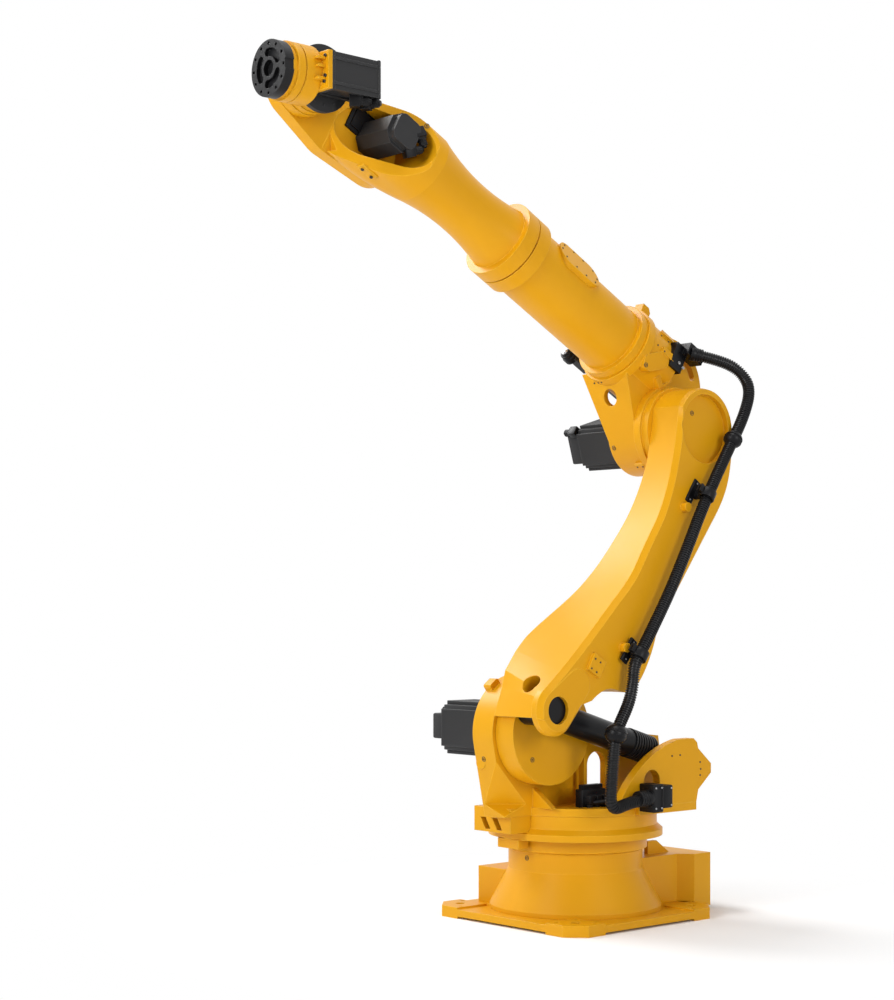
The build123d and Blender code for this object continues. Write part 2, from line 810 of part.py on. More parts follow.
# Lower arm: a body that widens from its bevelled near side to its far side, hub, ear, slot, dish
with BuildPart() as lower_arm:
    with BuildSketch(arm_plane.offset(arm_inner)):
        with BuildLine():
            arm_outline(far_front_shares, far_foot_shares, far_arch_shares, 0)
        make_face()
    with BuildSketch(near_plane.offset(-arm_bevel_width)):
        with BuildLine():
            arm_outline(near_front_shares, near_foot_shares, near_arch_shares, 0)
        make_face()
    with BuildSketch(near_plane):
        with BuildLine():
            arm_outline(near_front_shares, near_foot_shares, near_arch_shares, arm_bevel_width)
        make_face()
    loft(ruled=True)
    with BuildSketch(arm_plan):
        Polygon(
            (arm_taper_start_length, arm_inner),
            (arm_length - arm_taper_end_length, arm_top_inner_reach),
            (arm_length + arm_head_radius + cut_overrun_length, arm_top_inner_reach),
            (arm_length + arm_head_radius + cut_overrun_length, arm_inner - cut_overrun_length),
            (arm_taper_start_length, arm_inner - cut_overrun_length),
            align=None,
        )
    extrude(amount=arm_front_reach + cut_overrun_length, both=True, mode=Mode.SUBTRACT)
    with BuildSketch(arm_plane.offset(arm_inner)):
        Circle(hub_radius)
    extrude(amount=hub_width)
    with BuildSketch(arm_plane.offset(ear_inner)):
        with Locations((pin_along_length, pin_front_reach)):
            Circle(ear_radius)
        with Locations((ear_root_length, ear_root_reach)):
            Circle(ear_root_radius)
        make_hull()
    extrude(amount=ear_thickness - arm_bevel_width)
    with BuildSketch(arm_plane.offset(arm_outer - arm_bevel_width)):
        with Locations((pin_along_length, pin_front_reach)):
            Circle(ear_radius)
        with Locations((ear_root_length, ear_root_reach)):
            Circle(ear_root_radius)
        make_hull()
    extrude(amount=arm_bevel_width, taper=ear_bevel_angle)
    with BuildSketch(arm_plane.offset(hub_outer)):
        with Locations((slot_top_length - arm_length / 2, web_inner_reach - arm_length / 2)):
            Rectangle(arm_length, arm_length)
        with Locations((pin_along_length, pin_front_reach)):
            Circle(eye_radius + swing_gap)
    extrude(amount=ear_inner - hub_outer, mode=Mode.SUBTRACT)
    with BuildSketch(arm_plan):
        with Locations((web_hole_length, web_hole_reach)):
            Circle(web_hole_radius)
    extrude(amount=-arm_front_reach - cut_overrun_length, mode=Mode.SUBTRACT)
    with BuildSketch(arm_plane.offset(ear_inner)):
        with Locations((pin_along_length, pin_front_reach)):
            Circle(pin_radius)
    extrude(amount=ear_thickness + cut_overrun_length, mode=Mode.SUBTRACT)
    with BuildSketch(near_plane):
        with Locations((arm_length, 0)):
            Circle(dish_radius)
    extrude(amount=-dish_depth, mode=Mode.SUBTRACT)
    with BuildSketch(near_plane):
        with Locations((arm_pad_length, arm_pad_reach)):
            Rectangle(arm_pad_width, arm_pad_width)
    extrude(amount=arm_pad_thickness)
    with BuildSketch(near_plane):
        with Locations((post_low, post_low_reach), (post_mid, post_mid_reach)):
            Circle(post_radius)
    extrude(amount=post_length)
lower_arm.part.label = "lower_arm"
export_step(lower_arm.part, "parts/lower_arm.step")

# Pin that joins the balancer to the arm
with BuildPart() as arm_pin:
    with BuildSketch(arm_plane.offset(hub_outer)):
        with Locations((pin_along_length, pin_front_reach)):
            Circle(pin_radius)
    extrude(amount=arm_outer - pin_inset_depth - hub_outer)
arm_pin.part.label = "arm_pin"
export_step(arm_pin.part, "parts/arm_pin.step")

# Balancer tube with its eye
with BuildPart() as balancer_tube:
    with BuildSketch(tube_plane):
        Circle(tube_radius)
    extrude(amount=tube_length)
    with BuildSketch(Plane.XZ.offset(-balancer_reach)):
        with Locations((pin_x, pin_z)):
            Circle(eye_radius)
    extrude(amount=eye_width / 2, both=True)
    with BuildSketch(Plane.XZ.offset(-balancer_reach)):
        with Locations((pin_x, pin_z)):
            Circle(pin_radius + fit_gap)
    extrude(amount=eye_width / 2, both=True, mode=Mode.SUBTRACT)
    with BuildSketch(tube_plane.offset(tube_length)):
        Circle(tube_bore_radius)
    extrude(amount=tube_floor_length - tube_length, mode=Mode.SUBTRACT)
balancer_tube.part.label = "balancer_tube"
export_step(balancer_tube.part, "parts/balancer_tube.step")

# Bellows that covers the rod
with BuildPart() as balancer_bellows:
    with BuildSketch(tube_plane.offset(tube_length)):
        Circle(bellows_root_radius)
    extrude(amount=bellows_count * bellows_fold_length)
    for fold in range(bellows_count):
        with BuildSketch(tube_plane.offset(tube_length + fold * bellows_fold_length)):
            Circle(bellows_radius)
        extrude(amount=bellows_fold_length / 2)
    with BuildSketch(tube_plane.offset(tube_length)):
        Circle(tube_bore_radius)
    extrude(amount=bellows_count * bellows_fold_length, mode=Mode.SUBTRACT)
balancer_bellows.part.label = "balancer_bellows"
export_step(balancer_bellows.part, "parts/balancer_bellows.step")

# Balancer rod with the trunnion that swings on the fork's pin
with BuildPart() as balancer_rod:
    with BuildSketch(Plane.XZ.offset(-balancer_reach)):
        with Locations((foot_x, foot_z)):
            Circle(trunnion_radius)
    extrude(amount=eye_width / 2, both=True)
    with BuildSketch(rod_plane):
        Circle(rod_radius)
    extrude(amount=rod_length)
    with BuildSketch(Plane.XZ.offset(-balancer_reach)):
        with Locations((foot_x, foot_z)):
            Circle(fork_pin_radius + fit_gap)
    extrude(amount=eye_width / 2, both=True, mode=Mode.SUBTRACT)
balancer_rod.part.label = "balancer_rod"
export_step(balancer_rod.part, "parts/balancer_rod.step")

# Elbow casting: boss, side plate with its slot, front wall with its hole, barrel of the shaft
wall_plane = Plane(
    origin=fore_plane.from_local_coords((wall_foot_along, wall_foot_up, 0)),
    x_dir=(0, 1, 0),
    z_dir=(sin(pitch + wall_rise), 0, -cos(pitch + wall_rise)),
)
with BuildLine() as elbow_slot_line:
    CenterArc((0, 0), elbow_slot_radius, elbow_slot_from_angle, elbow_slot_turn_angle)
with BuildPart() as elbow_casting:
    with BuildSketch(fore_plane.offset(-elbow_right_reach)):
        Circle(elbow_boss_radius)
        with Locations((elbow_plate_length, elbow_offset - elbow_plate_drop)):
            Circle(elbow_plate_radius)
        make_hull()
        with Locations((elbow_plate_length, elbow_offset - elbow_plate_drop)):
            SlotArc(elbow_slot_line.edge(), elbow_slot_width, mode=Mode.SUBTRACT)
    extrude(amount=elbow_plate_thickness)
    with BuildSketch(fore_plane.offset(-elbow_right_reach)):
        Circle(elbow_boss_radius)
    extrude(amount=elbow_right_reach + elbow_left_reach)
    with BuildSketch(shaft_end.offset(barrel_start_length)):
        Circle(barrel_radius)
    extrude(amount=barrel_end_length - barrel_start_length)
    with BuildSketch(shaft_end.offset(barrel_end_length)):
        Circle(barrel_ring_radius)
    extrude(amount=barrel_ring_length)
    with BuildSketch(wall_plane):
        Polygon(
            (elbow_right_reach, 0),
            (elbow_right_reach, front_wall_height),
            (-front_wall_top_reach, front_wall_height),
            (-elbow_left_reach, 0),
            align=None,
        )
        with Locations((-front_hole_reach, front_hole_height)):
            Circle(front_hole_radius, mode=Mode.SUBTRACT)
    extrude(amount=-front_wall_thickness)
    with BuildSketch(fore_plane.offset(-elbow_right_reach - elbow_lug_depth)):
        with Locations(Location((elbow_lug_length, elbow_lug_rise, 0), (0, 0, elbow_lug_angle))):
            Rectangle(elbow_lug_width, elbow_lug_height)
            Rectangle(elbow_lug_hole_width, elbow_lug_hole_width, mode=Mode.SUBTRACT)
        Circle(j3_ring_radius, mode=Mode.SUBTRACT)
    extrude(amount=elbow_lug_depth)
    with BuildSketch(fore_plane.offset(-oval_reach)):
        with Locations(Location((oval_length, elbow_offset - oval_drop, 0), (0, 0, oval_angle))):
            SlotOverall(oval_width, oval_height)
    extrude(amount=oval_reach - elbow_right_reach)
    for pad_angle in barrel_pad_angles:
        pad_rise = sin(radians(pad_angle))
        pad_plane = Plane(
            origin=shaft_plane.from_local_coords((barrel_pad_distance, 0, 0)),
            x_dir=fore_along,
            z_dir=(-sin(pitch) * pad_rise, cos(radians(pad_angle)), cos(pitch) * pad_rise),
        )
        with BuildSketch(pad_plane.offset(barrel_radius - barrel_pad_thickness)):
            Rectangle(barrel_pad_length, barrel_pad_width)
        extrude(amount=2 * barrel_pad_thickness)
    with BuildSketch(shaft_plane.offset(-top_lug_width / 2)) as top_lug_face:
        with Locations((barrel_end_length - top_lug_length / 2, barrel_radius)):
            Rectangle(top_lug_length, 2 * top_lug_height)
        chamfer(top_lug_face.vertices().sort_by(Axis.Z)[-2:], top_lug_corner_width)
    extrude(amount=top_lug_width)
elbow_casting.part.label = "elbow_casting"
export_step(elbow_casting.part, "parts/elbow_casting.step")

# Ring of the elbow joint, stepped, between the casting and the arm
with BuildPart() as j3_ring:
    with BuildSketch(fore_plane.offset(-elbow_right_reach)):
        Circle(j3_ring_radius)
    extrude(amount=-j3_ring_thickness)
    with BuildSketch(fore_plane.offset(-elbow_right_reach - j3_ring_thickness)):
        Circle(j3_ring_step_radius)
    extrude(amount=elbow_right_reach + j3_ring_thickness + turn_gap - arm_top_inner_reach)
    add(elbow_casting.part, mode=Mode.SUBTRACT)
j3_ring.part.label = "j3_ring"
export_step(j3_ring.part, "parts/j3_ring.step")

# Elbow motor: body with broken corners, rear cap, plug
with BuildPart() as j3_motor:
    with BuildSketch(fore_plane.offset(elbow_left_reach)) as j3_motor_face:
        with Locations((0, -j3_motor_drop)):
            Rectangle(j3_motor_width, j3_motor_width)
        chamfer(j3_motor_face.vertices(), j3_motor_corner_width)
    extrude(amount=j3_motor_length)
    with BuildSketch(fore_plane.offset(elbow_left_reach + j3_motor_length)) as j3_cap_face:
        with Locations((0, -j3_motor_drop)):
            Rectangle(j3_cap_width, j3_cap_width)
        chamfer(j3_cap_face.vertices(), j3_motor_corner_width)
    extrude(amount=j3_cap_length)
j3_motor.part.label = "j3_motor"
export_step(j3_motor.part, "parts/j3_motor.step")

# Motor of the forearm's turn, beside the barrel, with its plug
with BuildPart() as j4_motor:
    with BuildSketch(shaft_end.offset(barrel_start_length - j4_motor_rear_length)):
        with Locations((-j4_motor_reach, j4_motor_rise)):
            Rectangle(j4_motor_width, j4_motor_width)
    extrude(amount=j4_motor_length)
    with BuildSketch(shaft_end.offset(barrel_front + j4_plug_reach)):
        with Locations((-j4_motor_reach, j4_motor_rise - j4_plug_drop)):
            Rectangle(j4_plug_width, j4_plug_width)
    extrude(amount=-j4_plug_length)
    add(elbow_casting.part, mode=Mode.SUBTRACT)
j4_motor.part.label = "j4_motor"
export_step(j4_motor.part, "parts/j4_motor.step")

# Forearm tube with its joint ring and the rear half of the collar
with BuildPart() as forearm_tube:
    with BuildSketch(shaft_plane):
        Polygon(
            (barrel_front + turn_gap, 0),
            (barrel_front + turn_gap, tube_ring_radius),
            (tube_ring_end, tube_ring_radius),
            (tube_ring_end, fore_tube_radius),
            (collar_start, fore_tube_radius),
            (collar_start, collar_radius),
            (groove_start, collar_radius),
            (groove_start, collar_radius - groove_depth),
            (groove_end, collar_radius - groove_depth),
            (groove_end, 0),
            align=None,
        )
    revolve(axis=fore_axis)
forearm_tube.part.label = "forearm_tube"
export_step(forearm_tube.part, "parts/forearm_tube.step")

# Oval cover on the tube
cover_rise = cos(radians(cover_turn))
cover_plane = Plane(
    origin=shaft_plane.from_local_coords((collar_start - cover_distance + cover_width / 2, 0, 0)),
    x_dir=fore_along,
    z_dir=(-sin(pitch) * cover_rise, sin(radians(cover_turn)), cos(pitch) * cover_rise),
)
with BuildPart() as access_cover:
    with BuildSketch(cover_plane):
        SlotOverall(cover_length, cover_width)
    extrude(amount=fore_tube_radius + cover_thickness)
    add(forearm_tube.part, mode=Mode.SUBTRACT)
access_cover.part.label = "access_cover"
export_step(access_cover.part, "parts/access_cover.step")

# Forearm casting: collar, waist, housing with the open window, cheek that carries the wrist
with BuildPart() as forearm_casting:
    with BuildSketch(shaft_end.offset(collar_end)):
        Circle(cast_start_radius)
    with BuildSketch(shaft_end.offset(waist_along)):
        Circle(waist_radius)
    with BuildSketch(shaft_end.offset(house_start)):
        Circle(house_start_radius)
    loft()
    with BuildSketch(shaft_end.offset(groove_end)):
        Circle(collar_radius)
    extrude(amount=collar_length)
    with BuildSketch(shaft_end.offset(house_start)):
        RectangleRounded(2 * house_start_radius, 2 * house_start_radius, house_start_radius - fit_gap)
    with BuildSketch(shaft_end.offset(house_full)):
        with Locations((-house_left_offset, -house_drop)):
            RectangleRounded(house_width, house_height, house_corner_radius)
    with BuildSketch(shaft_end.offset(house_end)):
        with Locations((-house_left_offset, -house_end_drop)):
            RectangleRounded(house_width, house_end_height, house_end_corner_radius)
    loft()
    with BuildSketch(shaft_plane.offset(pocket_floor_reach)):
        with Locations((house_full, -house_drop)):
            Circle(house_height / 2 - house_left_offset)
        with Locations((house_end, -house_end_drop)):
            Circle(house_end_height / 2)
        with Locations((j5_along, 0)):
            Circle(cheek_radius)
        make_hull()
    extrude(amount=cheek_thickness)
    with BuildSketch(shaft_plane.offset(pocket_floor_reach)):
        with Locations((house_full, 0)):
            Circle(window_radius)
        with Locations((house_full + window_length, -window_front_drop)):
            Circle(window_front_radius)
        make_hull()
    extrude(amount=-pocket_floor_reach - house_width, mode=Mode.SUBTRACT)
    with BuildSketch(shaft_plan):
        Polygon(
            (house_full - lip_length, lip_reach),
            (house_end, -pocket_floor_reach),
            (j5_along, -pocket_floor_reach),
            (j5_along, house_width),
            (house_full - lip_length, house_width),
            align=None,
        )
    extrude(amount=house_width, both=True, mode=Mode.SUBTRACT)
    with BuildSketch(shaft_plane.offset(wrist_sweep_reach)):
        for turn in (wrist_swing_angle, -wrist_swing_angle):
            with Locations(Location((j5_along, 0), turn)):
                Rectangle(wrist_sweep_length, 2 * wrist_sweep_reach, align=(Align.MIN, Align.CENTER))
    extrude(amount=-2 * wrist_sweep_reach, mode=Mode.SUBTRACT)
forearm_casting.part.label = "forearm_casting"
export_step(forearm_casting.part, "parts/forearm_casting.step")

# Wrist motor in the housing, with its rounded cap
with BuildPart() as j5_motor:
    with BuildSketch(shaft_plane.offset(pocket_floor_reach)) as j5_motor_face:
        with Locations((house_full + j5_motor_lead_length, j5_motor_rise)):
            Rectangle(j5_motor_width, j5_motor_width)
        chamfer(j5_motor_face.vertices(), j5_motor_corner_width)
    extrude(amount=-pocket_floor_reach - j5_motor_reach)
    with BuildSketch(shaft_plane.offset(-j5_motor_reach)):
        with Locations((house_full + j5_motor_lead_length, j5_motor_rise)):
            RectangleRounded(j5_cap_width, j5_cap_width, j5_cap_radius)
    extrude(amount=-j5_cap_length)
j5_motor.part.label = "j5_motor"
export_step(j5_motor.part, "parts/j5_motor.step")

# Ring of the wrist's joint on the cheek
with BuildPart() as j5_ring:
    with BuildSketch(shaft_plane.offset(j5_ring_reach)):
        with Locations((j5_along, 0)):
            Circle(j5_ring_radius)
    extrude(amount=j5_ring_thickness)
j5_ring.part.label = "j5_ring"
export_step(j5_ring.part, "parts/j5_ring.step")

# Wrist body: stepped core on the joint's ring, barrel of the last shaft, plate of its motor
with BuildPart() as wrist_body:
    with BuildSketch(wrist_plane.offset(j5_ring_reach - turn_gap)):
        Circle(wrist_core_radius)
    extrude(amount=-wrist_step_thickness)
    with BuildSketch(wrist_plane):
        Circle(wrist_step_radius)
    extrude(amount=j5_ring_reach - turn_gap - wrist_step_thickness)
    with BuildSketch(wrist_end):
        Circle(wrist_neck_radius)
    extrude(amount=wrist_ring_distance)
    with BuildSketch(wrist_end.offset(wrist_ring_distance)):
        Circle(wrist_groove_radius)
    extrude(amount=-wrist_body_length)
    with BuildSketch(wrist_end.offset(wrist_ring_distance - wrist_groove_length)):
        Circle(wrist_body_radius)
    extrude(amount=wrist_groove_length - wrist_body_length)
    with BuildSketch(wrist_end.offset(wrist_ring_distance)):
        Circle(wrist_body_radius)
    extrude(amount=wrist_ring_length)
    with BuildSketch(wrist_end.offset(wrist_collar_distance)):
        Circle(wrist_collar_radius)
    extrude(amount=wrist_collar_length)
    with BuildSketch(wrist_end.offset(wrist_ring_distance - wrist_body_length)):
        with Locations((hub_disc_thickness + motor_plate_width / 2, 0)):
            Rectangle(motor_plate_width, motor_plate_height)
    extrude(amount=-motor_plate_thickness)
    with BuildSketch(wrist_plane.offset(j5_ring_reach - turn_gap)):
        Circle(j5_ring_radius + swing_gap)
    extrude(amount=pocket_floor_reach + cheek_thickness, mode=Mode.SUBTRACT)
wrist_body.part.label = "wrist_body"
export_step(wrist_body.part, "parts/wrist_body.step")

# Dark disc on the near side of the wrist
with BuildPart() as wrist_disc:
    with BuildSketch(wrist_plane):
        Circle(hub_disc_radius)
    extrude(amount=-hub_disc_thickness)
    add(wrist_body.part, mode=Mode.SUBTRACT)
wrist_disc.part.label = "wrist_disc"
export_step(wrist_disc.part, "parts/wrist_disc.step")

# Motor of the last shaft, with rails along its edges
with BuildPart() as j6_motor:
    with BuildSketch(wrist_end.offset(wrist_ring_distance - wrist_body_length - motor_plate_thickness)):
        with Locations((hub_disc_thickness + motor_plate_width / 2, 0)):
            RectangleRounded(j6_motor_width, j6_motor_height, j6_motor_radius)
            with GridLocations(j6_motor_width - j6_rail_width, j6_motor_height, 2, 2):
                Rectangle(j6_rail_width, 2 * j6_rail_thickness)
    extrude(amount=-j6_motor_length)
    add(wrist_body.part, mode=Mode.SUBTRACT)
j6_motor.part.label = "j6_motor"
export_step(j6_motor.part, "parts/j6_motor.step")

# Tool flange
with BuildLine() as kidney_line:
    CenterArc((0, 0), kidney_radius, -kidney_turn_angle / 2, kidney_turn_angle)
with BuildPart() as tool_flange:
    with BuildSketch(wrist_end.offset(wrist_ring_end + turn_gap)):
        Circle(flange_radius)
        with Locations((flange_radius, 0)):
            Rectangle(2 * notch_depth, notch_width, mode=Mode.SUBTRACT)
    extrude(amount=flange_thickness)
    with BuildSketch(wrist_end.offset(wrist_ring_end + turn_gap + flange_thickness)):
        with PolarLocations(flange_pitch_dia / 2, flange_hole_count):
            Circle(flange_hole_dia / 2)
    extrude(amount=-flange_hole_depth, mode=Mode.SUBTRACT)
    with BuildSketch(wrist_end.offset(wrist_ring_end + turn_gap + flange_thickness)):
        Circle(flange_pilot_radius)
    extrude(amount=-flange_pilot_depth, mode=Mode.SUBTRACT)
    with BuildSketch(wrist_end.offset(wrist_ring_end + turn_gap + flange_thickness)):
        with PolarLocations(0, kidney_count, start_angle=kidney_start_angle):
            SlotArc(kidney_line.edge(), kidney_width)
    extrude(amount=-kidney_depth, mode=Mode.SUBTRACT)
tool_flange.part.label = "tool_flange"
export_step(tool_flange.part, "parts/tool_flange.step")


# Radii of a route's arcs: as large as the shorter of the two runs at each corner leaves room for
def route_radii(route):
    points = [Vector(*p) for p in route]
    radii = []
    for before, corner, after in zip(points, points[1:], points[2:]):
        run_in = corner - before
        run_out = after - corner
        half_turn = radians(run_in.get_angle(run_out)) / 2
        radii.append(hose_bend_share * min(run_in.length, run_out.length) / tan(half_turn))
    return radii


# Hose in three lengths
with BuildPart() as hose_turret:
    with BuildLine() as hose_turret_path:
        FilletPolyline(*hose_turret_route, radius=route_radii(hose_turret_route))
    with BuildSketch(hose_turret_path.line ^ 0):
        Circle(hose_radius)
    sweep()
hose_turret.part.label = "hose_turret"
export_step(hose_turret.part, "parts/hose_turret.step")

with BuildPart() as hose_arm:
    with BuildLine() as hose_arm_path:
        FilletPolyline(*hose_arm_route, radius=route_radii(hose_arm_route))
    with BuildSketch(hose_arm_path.line ^ 0):
        Circle(hose_radius)
    sweep()
hose_arm.part.label = "hose_arm"
export_step(hose_arm.part, "parts/hose_arm.step")

with BuildPart() as hose_elbow:
    with BuildLine() as hose_elbow_path:
        FilletPolyline(*hose_elbow_route, radius=route_radii(hose_elbow_route))
    with BuildSketch(hose_elbow_path.line ^ 0):
        Circle(hose_radius)
    sweep()
hose_elbow.part.label = "hose_elbow"
export_step(hose_elbow.part, "parts/hose_elbow.step")
for hose_route in (hose_turret_route, hose_arm_route, hose_elbow_route):
    print("hose arc radii", [round(r, 1) for r in route_radii(hose_route)])
for hose_path in (hose_turret_path, hose_arm_path, hose_elbow_path):
    print("hose length", round(sum(e.length for e in hose_path.edges()), 1))

# Block on the fork's near plate where the hose starts
with BuildPart() as hose_block:
    with BuildSketch(Plane.XZ.offset(-deck_right_reach)):
        with Locations((-block_length / 2, deck_top + block_rise_height)):
            Rectangle(block_length, block_height)
    extrude(amount=-block_depth)
    add(hose_turret.part, mode=Mode.SUBTRACT)
hose_block.part.label = "hose_block"
export_step(hose_block.part, "parts/hose_block.step")

# Clamps that hold the hose on posts off the arm
with BuildPart() as hose_clamp_low:
    with BuildSketch(Plane(origin=clamp_low_place, x_dir=(0, 1, 0), z_dir=clamp_low_dir)):
        Circle(clamp_radius)
    extrude(amount=clamp_length / 2, both=True)
    with BuildSketch(Plane.XZ.offset(-clamp_low_place.Y)):
        with Locations((clamp_low_place.X, clamp_low_place.Z)):
            Circle(clamp_post_radius)
    extrude(amount=clamp_post_length)
    add(hose_arm.part, mode=Mode.SUBTRACT)
    add(hose_turret.part, mode=Mode.SUBTRACT)
    add(lower_arm.part, mode=Mode.SUBTRACT)
hose_clamp_low.part.label = "hose_clamp_low"
export_step(hose_clamp_low.part, "parts/hose_clamp_low.step")

with BuildPart() as hose_clamp_mid:
    with BuildSketch(Plane(origin=clamp_mid_place, x_dir=(0, 1, 0), z_dir=clamp_mid_dir)):
        Circle(clamp_radius)
    extrude(amount=clamp_length / 2, both=True)
    with BuildSketch(Plane.XZ.offset(-clamp_mid_place.Y)):
        with Locations((clamp_mid_place.X, clamp_mid_place.Z)):
            Circle(clamp_post_radius)
    extrude(amount=clamp_post_length)
    add(hose_arm.part, mode=Mode.SUBTRACT)
    add(lower_arm.part, mode=Mode.SUBTRACT)
hose_clamp_mid.part.label = "hose_clamp_mid"
export_step(hose_clamp_mid.part, "parts/hose_clamp_mid.step")

with BuildPart() as hose_clamp_top:
    with BuildSketch(Plane(origin=clamp_top_place, x_dir=(0, 1, 0), z_dir=clamp_top_dir)):
        Circle(clamp_radius)
    extrude(amount=clamp_length / 2, both=True)
    with BuildSketch(Plane.XZ.offset(-clamp_top_place.Y)):
        with Locations((clamp_top_place.X, clamp_top_place.Z)):
            Circle(clamp_post_radius)
    extrude(amount=clamp_post_length)
    add(hose_arm.part, mode=Mode.SUBTRACT)
    add(hose_elbow.part, mode=Mode.SUBTRACT)
    add(lower_arm.part, mode=Mode.SUBTRACT)
hose_clamp_top.part.label = "hose_clamp_top"
export_step(hose_clamp_top.part, "parts/hose_clamp_top.step")

# Bracket on the elbow where the hose ends
with BuildPart() as hose_bracket:
    with BuildSketch(fore_plane.offset(-bracket_reach)):
        with Locations((bracket_along_length, elbow_offset + bracket_rise)):
            Rectangle(bracket_length, bracket_height)
    extrude(amount=bracket_depth)
    with BuildSketch(fore_plane.offset(-bracket_plate_reach)):
        with Locations((bracket_plate_along_length, elbow_offset + bracket_plate_rise)):
            Rectangle(bracket_plate_length, bracket_plate_height)
    extrude(amount=bracket_plate_depth)
    add(elbow_casting.part, mode=Mode.SUBTRACT)
    add(hose_elbow.part, mode=Mode.SUBTRACT)
hose_bracket.part.label = "hose_bracket"
export_step(hose_bracket.part, "parts/hose_bracket.step")
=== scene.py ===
import bpy
from math import radians, cos, sin
from mathutils import Matrix, Vector


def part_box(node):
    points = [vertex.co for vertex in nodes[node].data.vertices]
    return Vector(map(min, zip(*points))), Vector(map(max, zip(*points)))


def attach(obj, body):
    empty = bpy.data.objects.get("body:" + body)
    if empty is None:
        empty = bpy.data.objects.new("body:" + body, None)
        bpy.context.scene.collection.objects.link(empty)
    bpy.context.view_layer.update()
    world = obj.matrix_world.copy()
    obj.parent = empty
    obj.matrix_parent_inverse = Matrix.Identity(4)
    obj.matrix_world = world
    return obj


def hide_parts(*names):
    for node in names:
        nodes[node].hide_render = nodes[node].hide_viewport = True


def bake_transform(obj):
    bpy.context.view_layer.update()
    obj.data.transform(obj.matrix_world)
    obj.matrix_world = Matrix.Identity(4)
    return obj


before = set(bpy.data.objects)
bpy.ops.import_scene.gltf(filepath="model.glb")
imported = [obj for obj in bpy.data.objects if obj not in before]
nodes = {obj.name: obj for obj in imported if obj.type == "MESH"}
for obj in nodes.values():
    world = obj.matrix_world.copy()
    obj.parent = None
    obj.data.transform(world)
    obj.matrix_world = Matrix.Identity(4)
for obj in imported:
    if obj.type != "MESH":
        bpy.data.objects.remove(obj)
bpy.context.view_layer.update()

# Studio: a pale floor that fades into a white room, and four soft lamps: in front, high on the picture's
# left, at the machine's side and above. The camera stands level and looks at the machine's front left corner.
bpy.ops.object.select_all(action="DESELECT")
bpy.ops.mesh.primitive_plane_add(size=60, location=(0, 0, 0))
floor = bpy.context.object
floor.name = "studio_floor"


def set_values(node, values):
    for socket, value in values.items():
        node.inputs[socket].default_value = value


def add_node(tree, kind, values=None, **settings):
    node = tree.nodes.new("ShaderNode" + kind)
    for setting, choice in settings.items():
        setattr(node, setting, choice)
    set_values(node, values or {})
    return node


def link(tree, *pairs):
    for source, target in pairs:
        tree.links.new(source, target)


def seen_rays(tree):
    path = add_node(tree, "LightPath")
    total = path.outputs["Is Camera Ray"]
    for ray in ("Is Glossy Ray", "Is Transmission Ray"):
        add = add_node(tree, "Math", operation="ADD", use_clamp=True)
        link(tree, (total, add.inputs[0]), (path.outputs[ray], add.inputs[1]))
        total = add.outputs["Value"]
    return total


white = (1, 1, 1, 1)
floor_paint = bpy.data.materials.new("studio_floor")
floor_paint.use_nodes = True
floor.data.materials.append(floor_paint)
tree = floor_paint.node_tree
floor_look = tree.nodes["Principled BSDF"]
set_values(floor_look, {"Base Color": (0.93, 0.93, 0.93, 1), "Roughness": 0.9, "Specular IOR Level": 0.1})
spot = add_node(tree, "TexCoord")
reach = add_node(tree, "VectorMath", operation="LENGTH")
fade = add_node(tree, "MapRange", {"From Min": 0.55, "From Max": 1.7}, interpolation_type="SMOOTHSTEP")
both = add_node(tree, "Math", operation="MULTIPLY")
bright = add_node(tree, "Emission", {"Color": white, "Strength": 1})
blend = add_node(tree, "MixShader")
link(tree,
     (spot.outputs["Object"], reach.inputs[0]),
     (reach.outputs["Value"], fade.inputs["Value"]),
     (fade.outputs["Result"], both.inputs[0]),
     (seen_rays(tree), both.inputs[1]),
     (both.outputs["Value"], blend.inputs["Fac"]),
     (floor_look.outputs["BSDF"], blend.inputs[1]),
     (bright.outputs["Emission"], blend.inputs[2]),
     (blend.outputs["Shader"], tree.nodes["Material Output"].inputs["Surface"]))

room = bpy.data.worlds.new("studio_room")
room.use_nodes = True
bpy.context.scene.world = room
air = room.node_tree
glow = air.nodes["Background"]
set_values(glow, {"Color": white, "Strength": 0.33})
backdrop = add_node(air, "Background", {"Color": white, "Strength": 1})
veil = add_node(air, "MixShader")
link(air,
     (seen_rays(air), veil.inputs["Fac"]),
     (glow.outputs["Background"], veil.inputs[1]),
     (backdrop.outputs["Background"], veil.inputs[2]),
     (veil.outputs["Shader"], air.nodes["World Output"].inputs["Surface"]))


def soft_lamp(name, place, target, width, height, power):
    bpy.ops.object.light_add(type="AREA", location=place)
    lamp = bpy.context.object
    lamp.name = name
    lamp.data.shape = "RECTANGLE"
    lamp.data.size = width
    lamp.data.size_y = height
    lamp.data.energy = power
    lamp.rotation_euler = (Vector(target) - Vector(place)).to_track_quat("-Z", "Y").to_euler()


soft_lamp("front_lamp", (6.5, 0.4, 3.2), (0.2, 0, 1.3), 1.8, 2.6, 205)
soft_lamp("left_lamp", (1.6, -4.9, 5.9), (0.1, 0, 1.3), 4.0, 3.0, 430)
soft_lamp("side_lamp", (0.5, 7.0, 3.0), (0.0, 0, 1.4), 1.6, 3.0, 165)
soft_lamp("top_lamp", (0.4, 0.6, 6.5), (0.2, 0, 1.0), 2.4, 2.4, 110)

bpy.ops.object.camera_add(location=(4.962, 4.938, 1.1025), rotation=(radians(90), 0, radians(138.54)))
camera = bpy.context.object
camera.data.lens = 71.83
camera.data.sensor_width = 36
camera.data.shift_y = 0.1006
camera.data.clip_end = 200
bpy.context.scene.camera = camera
bpy.context.scene.view_settings.view_transform = "Standard"

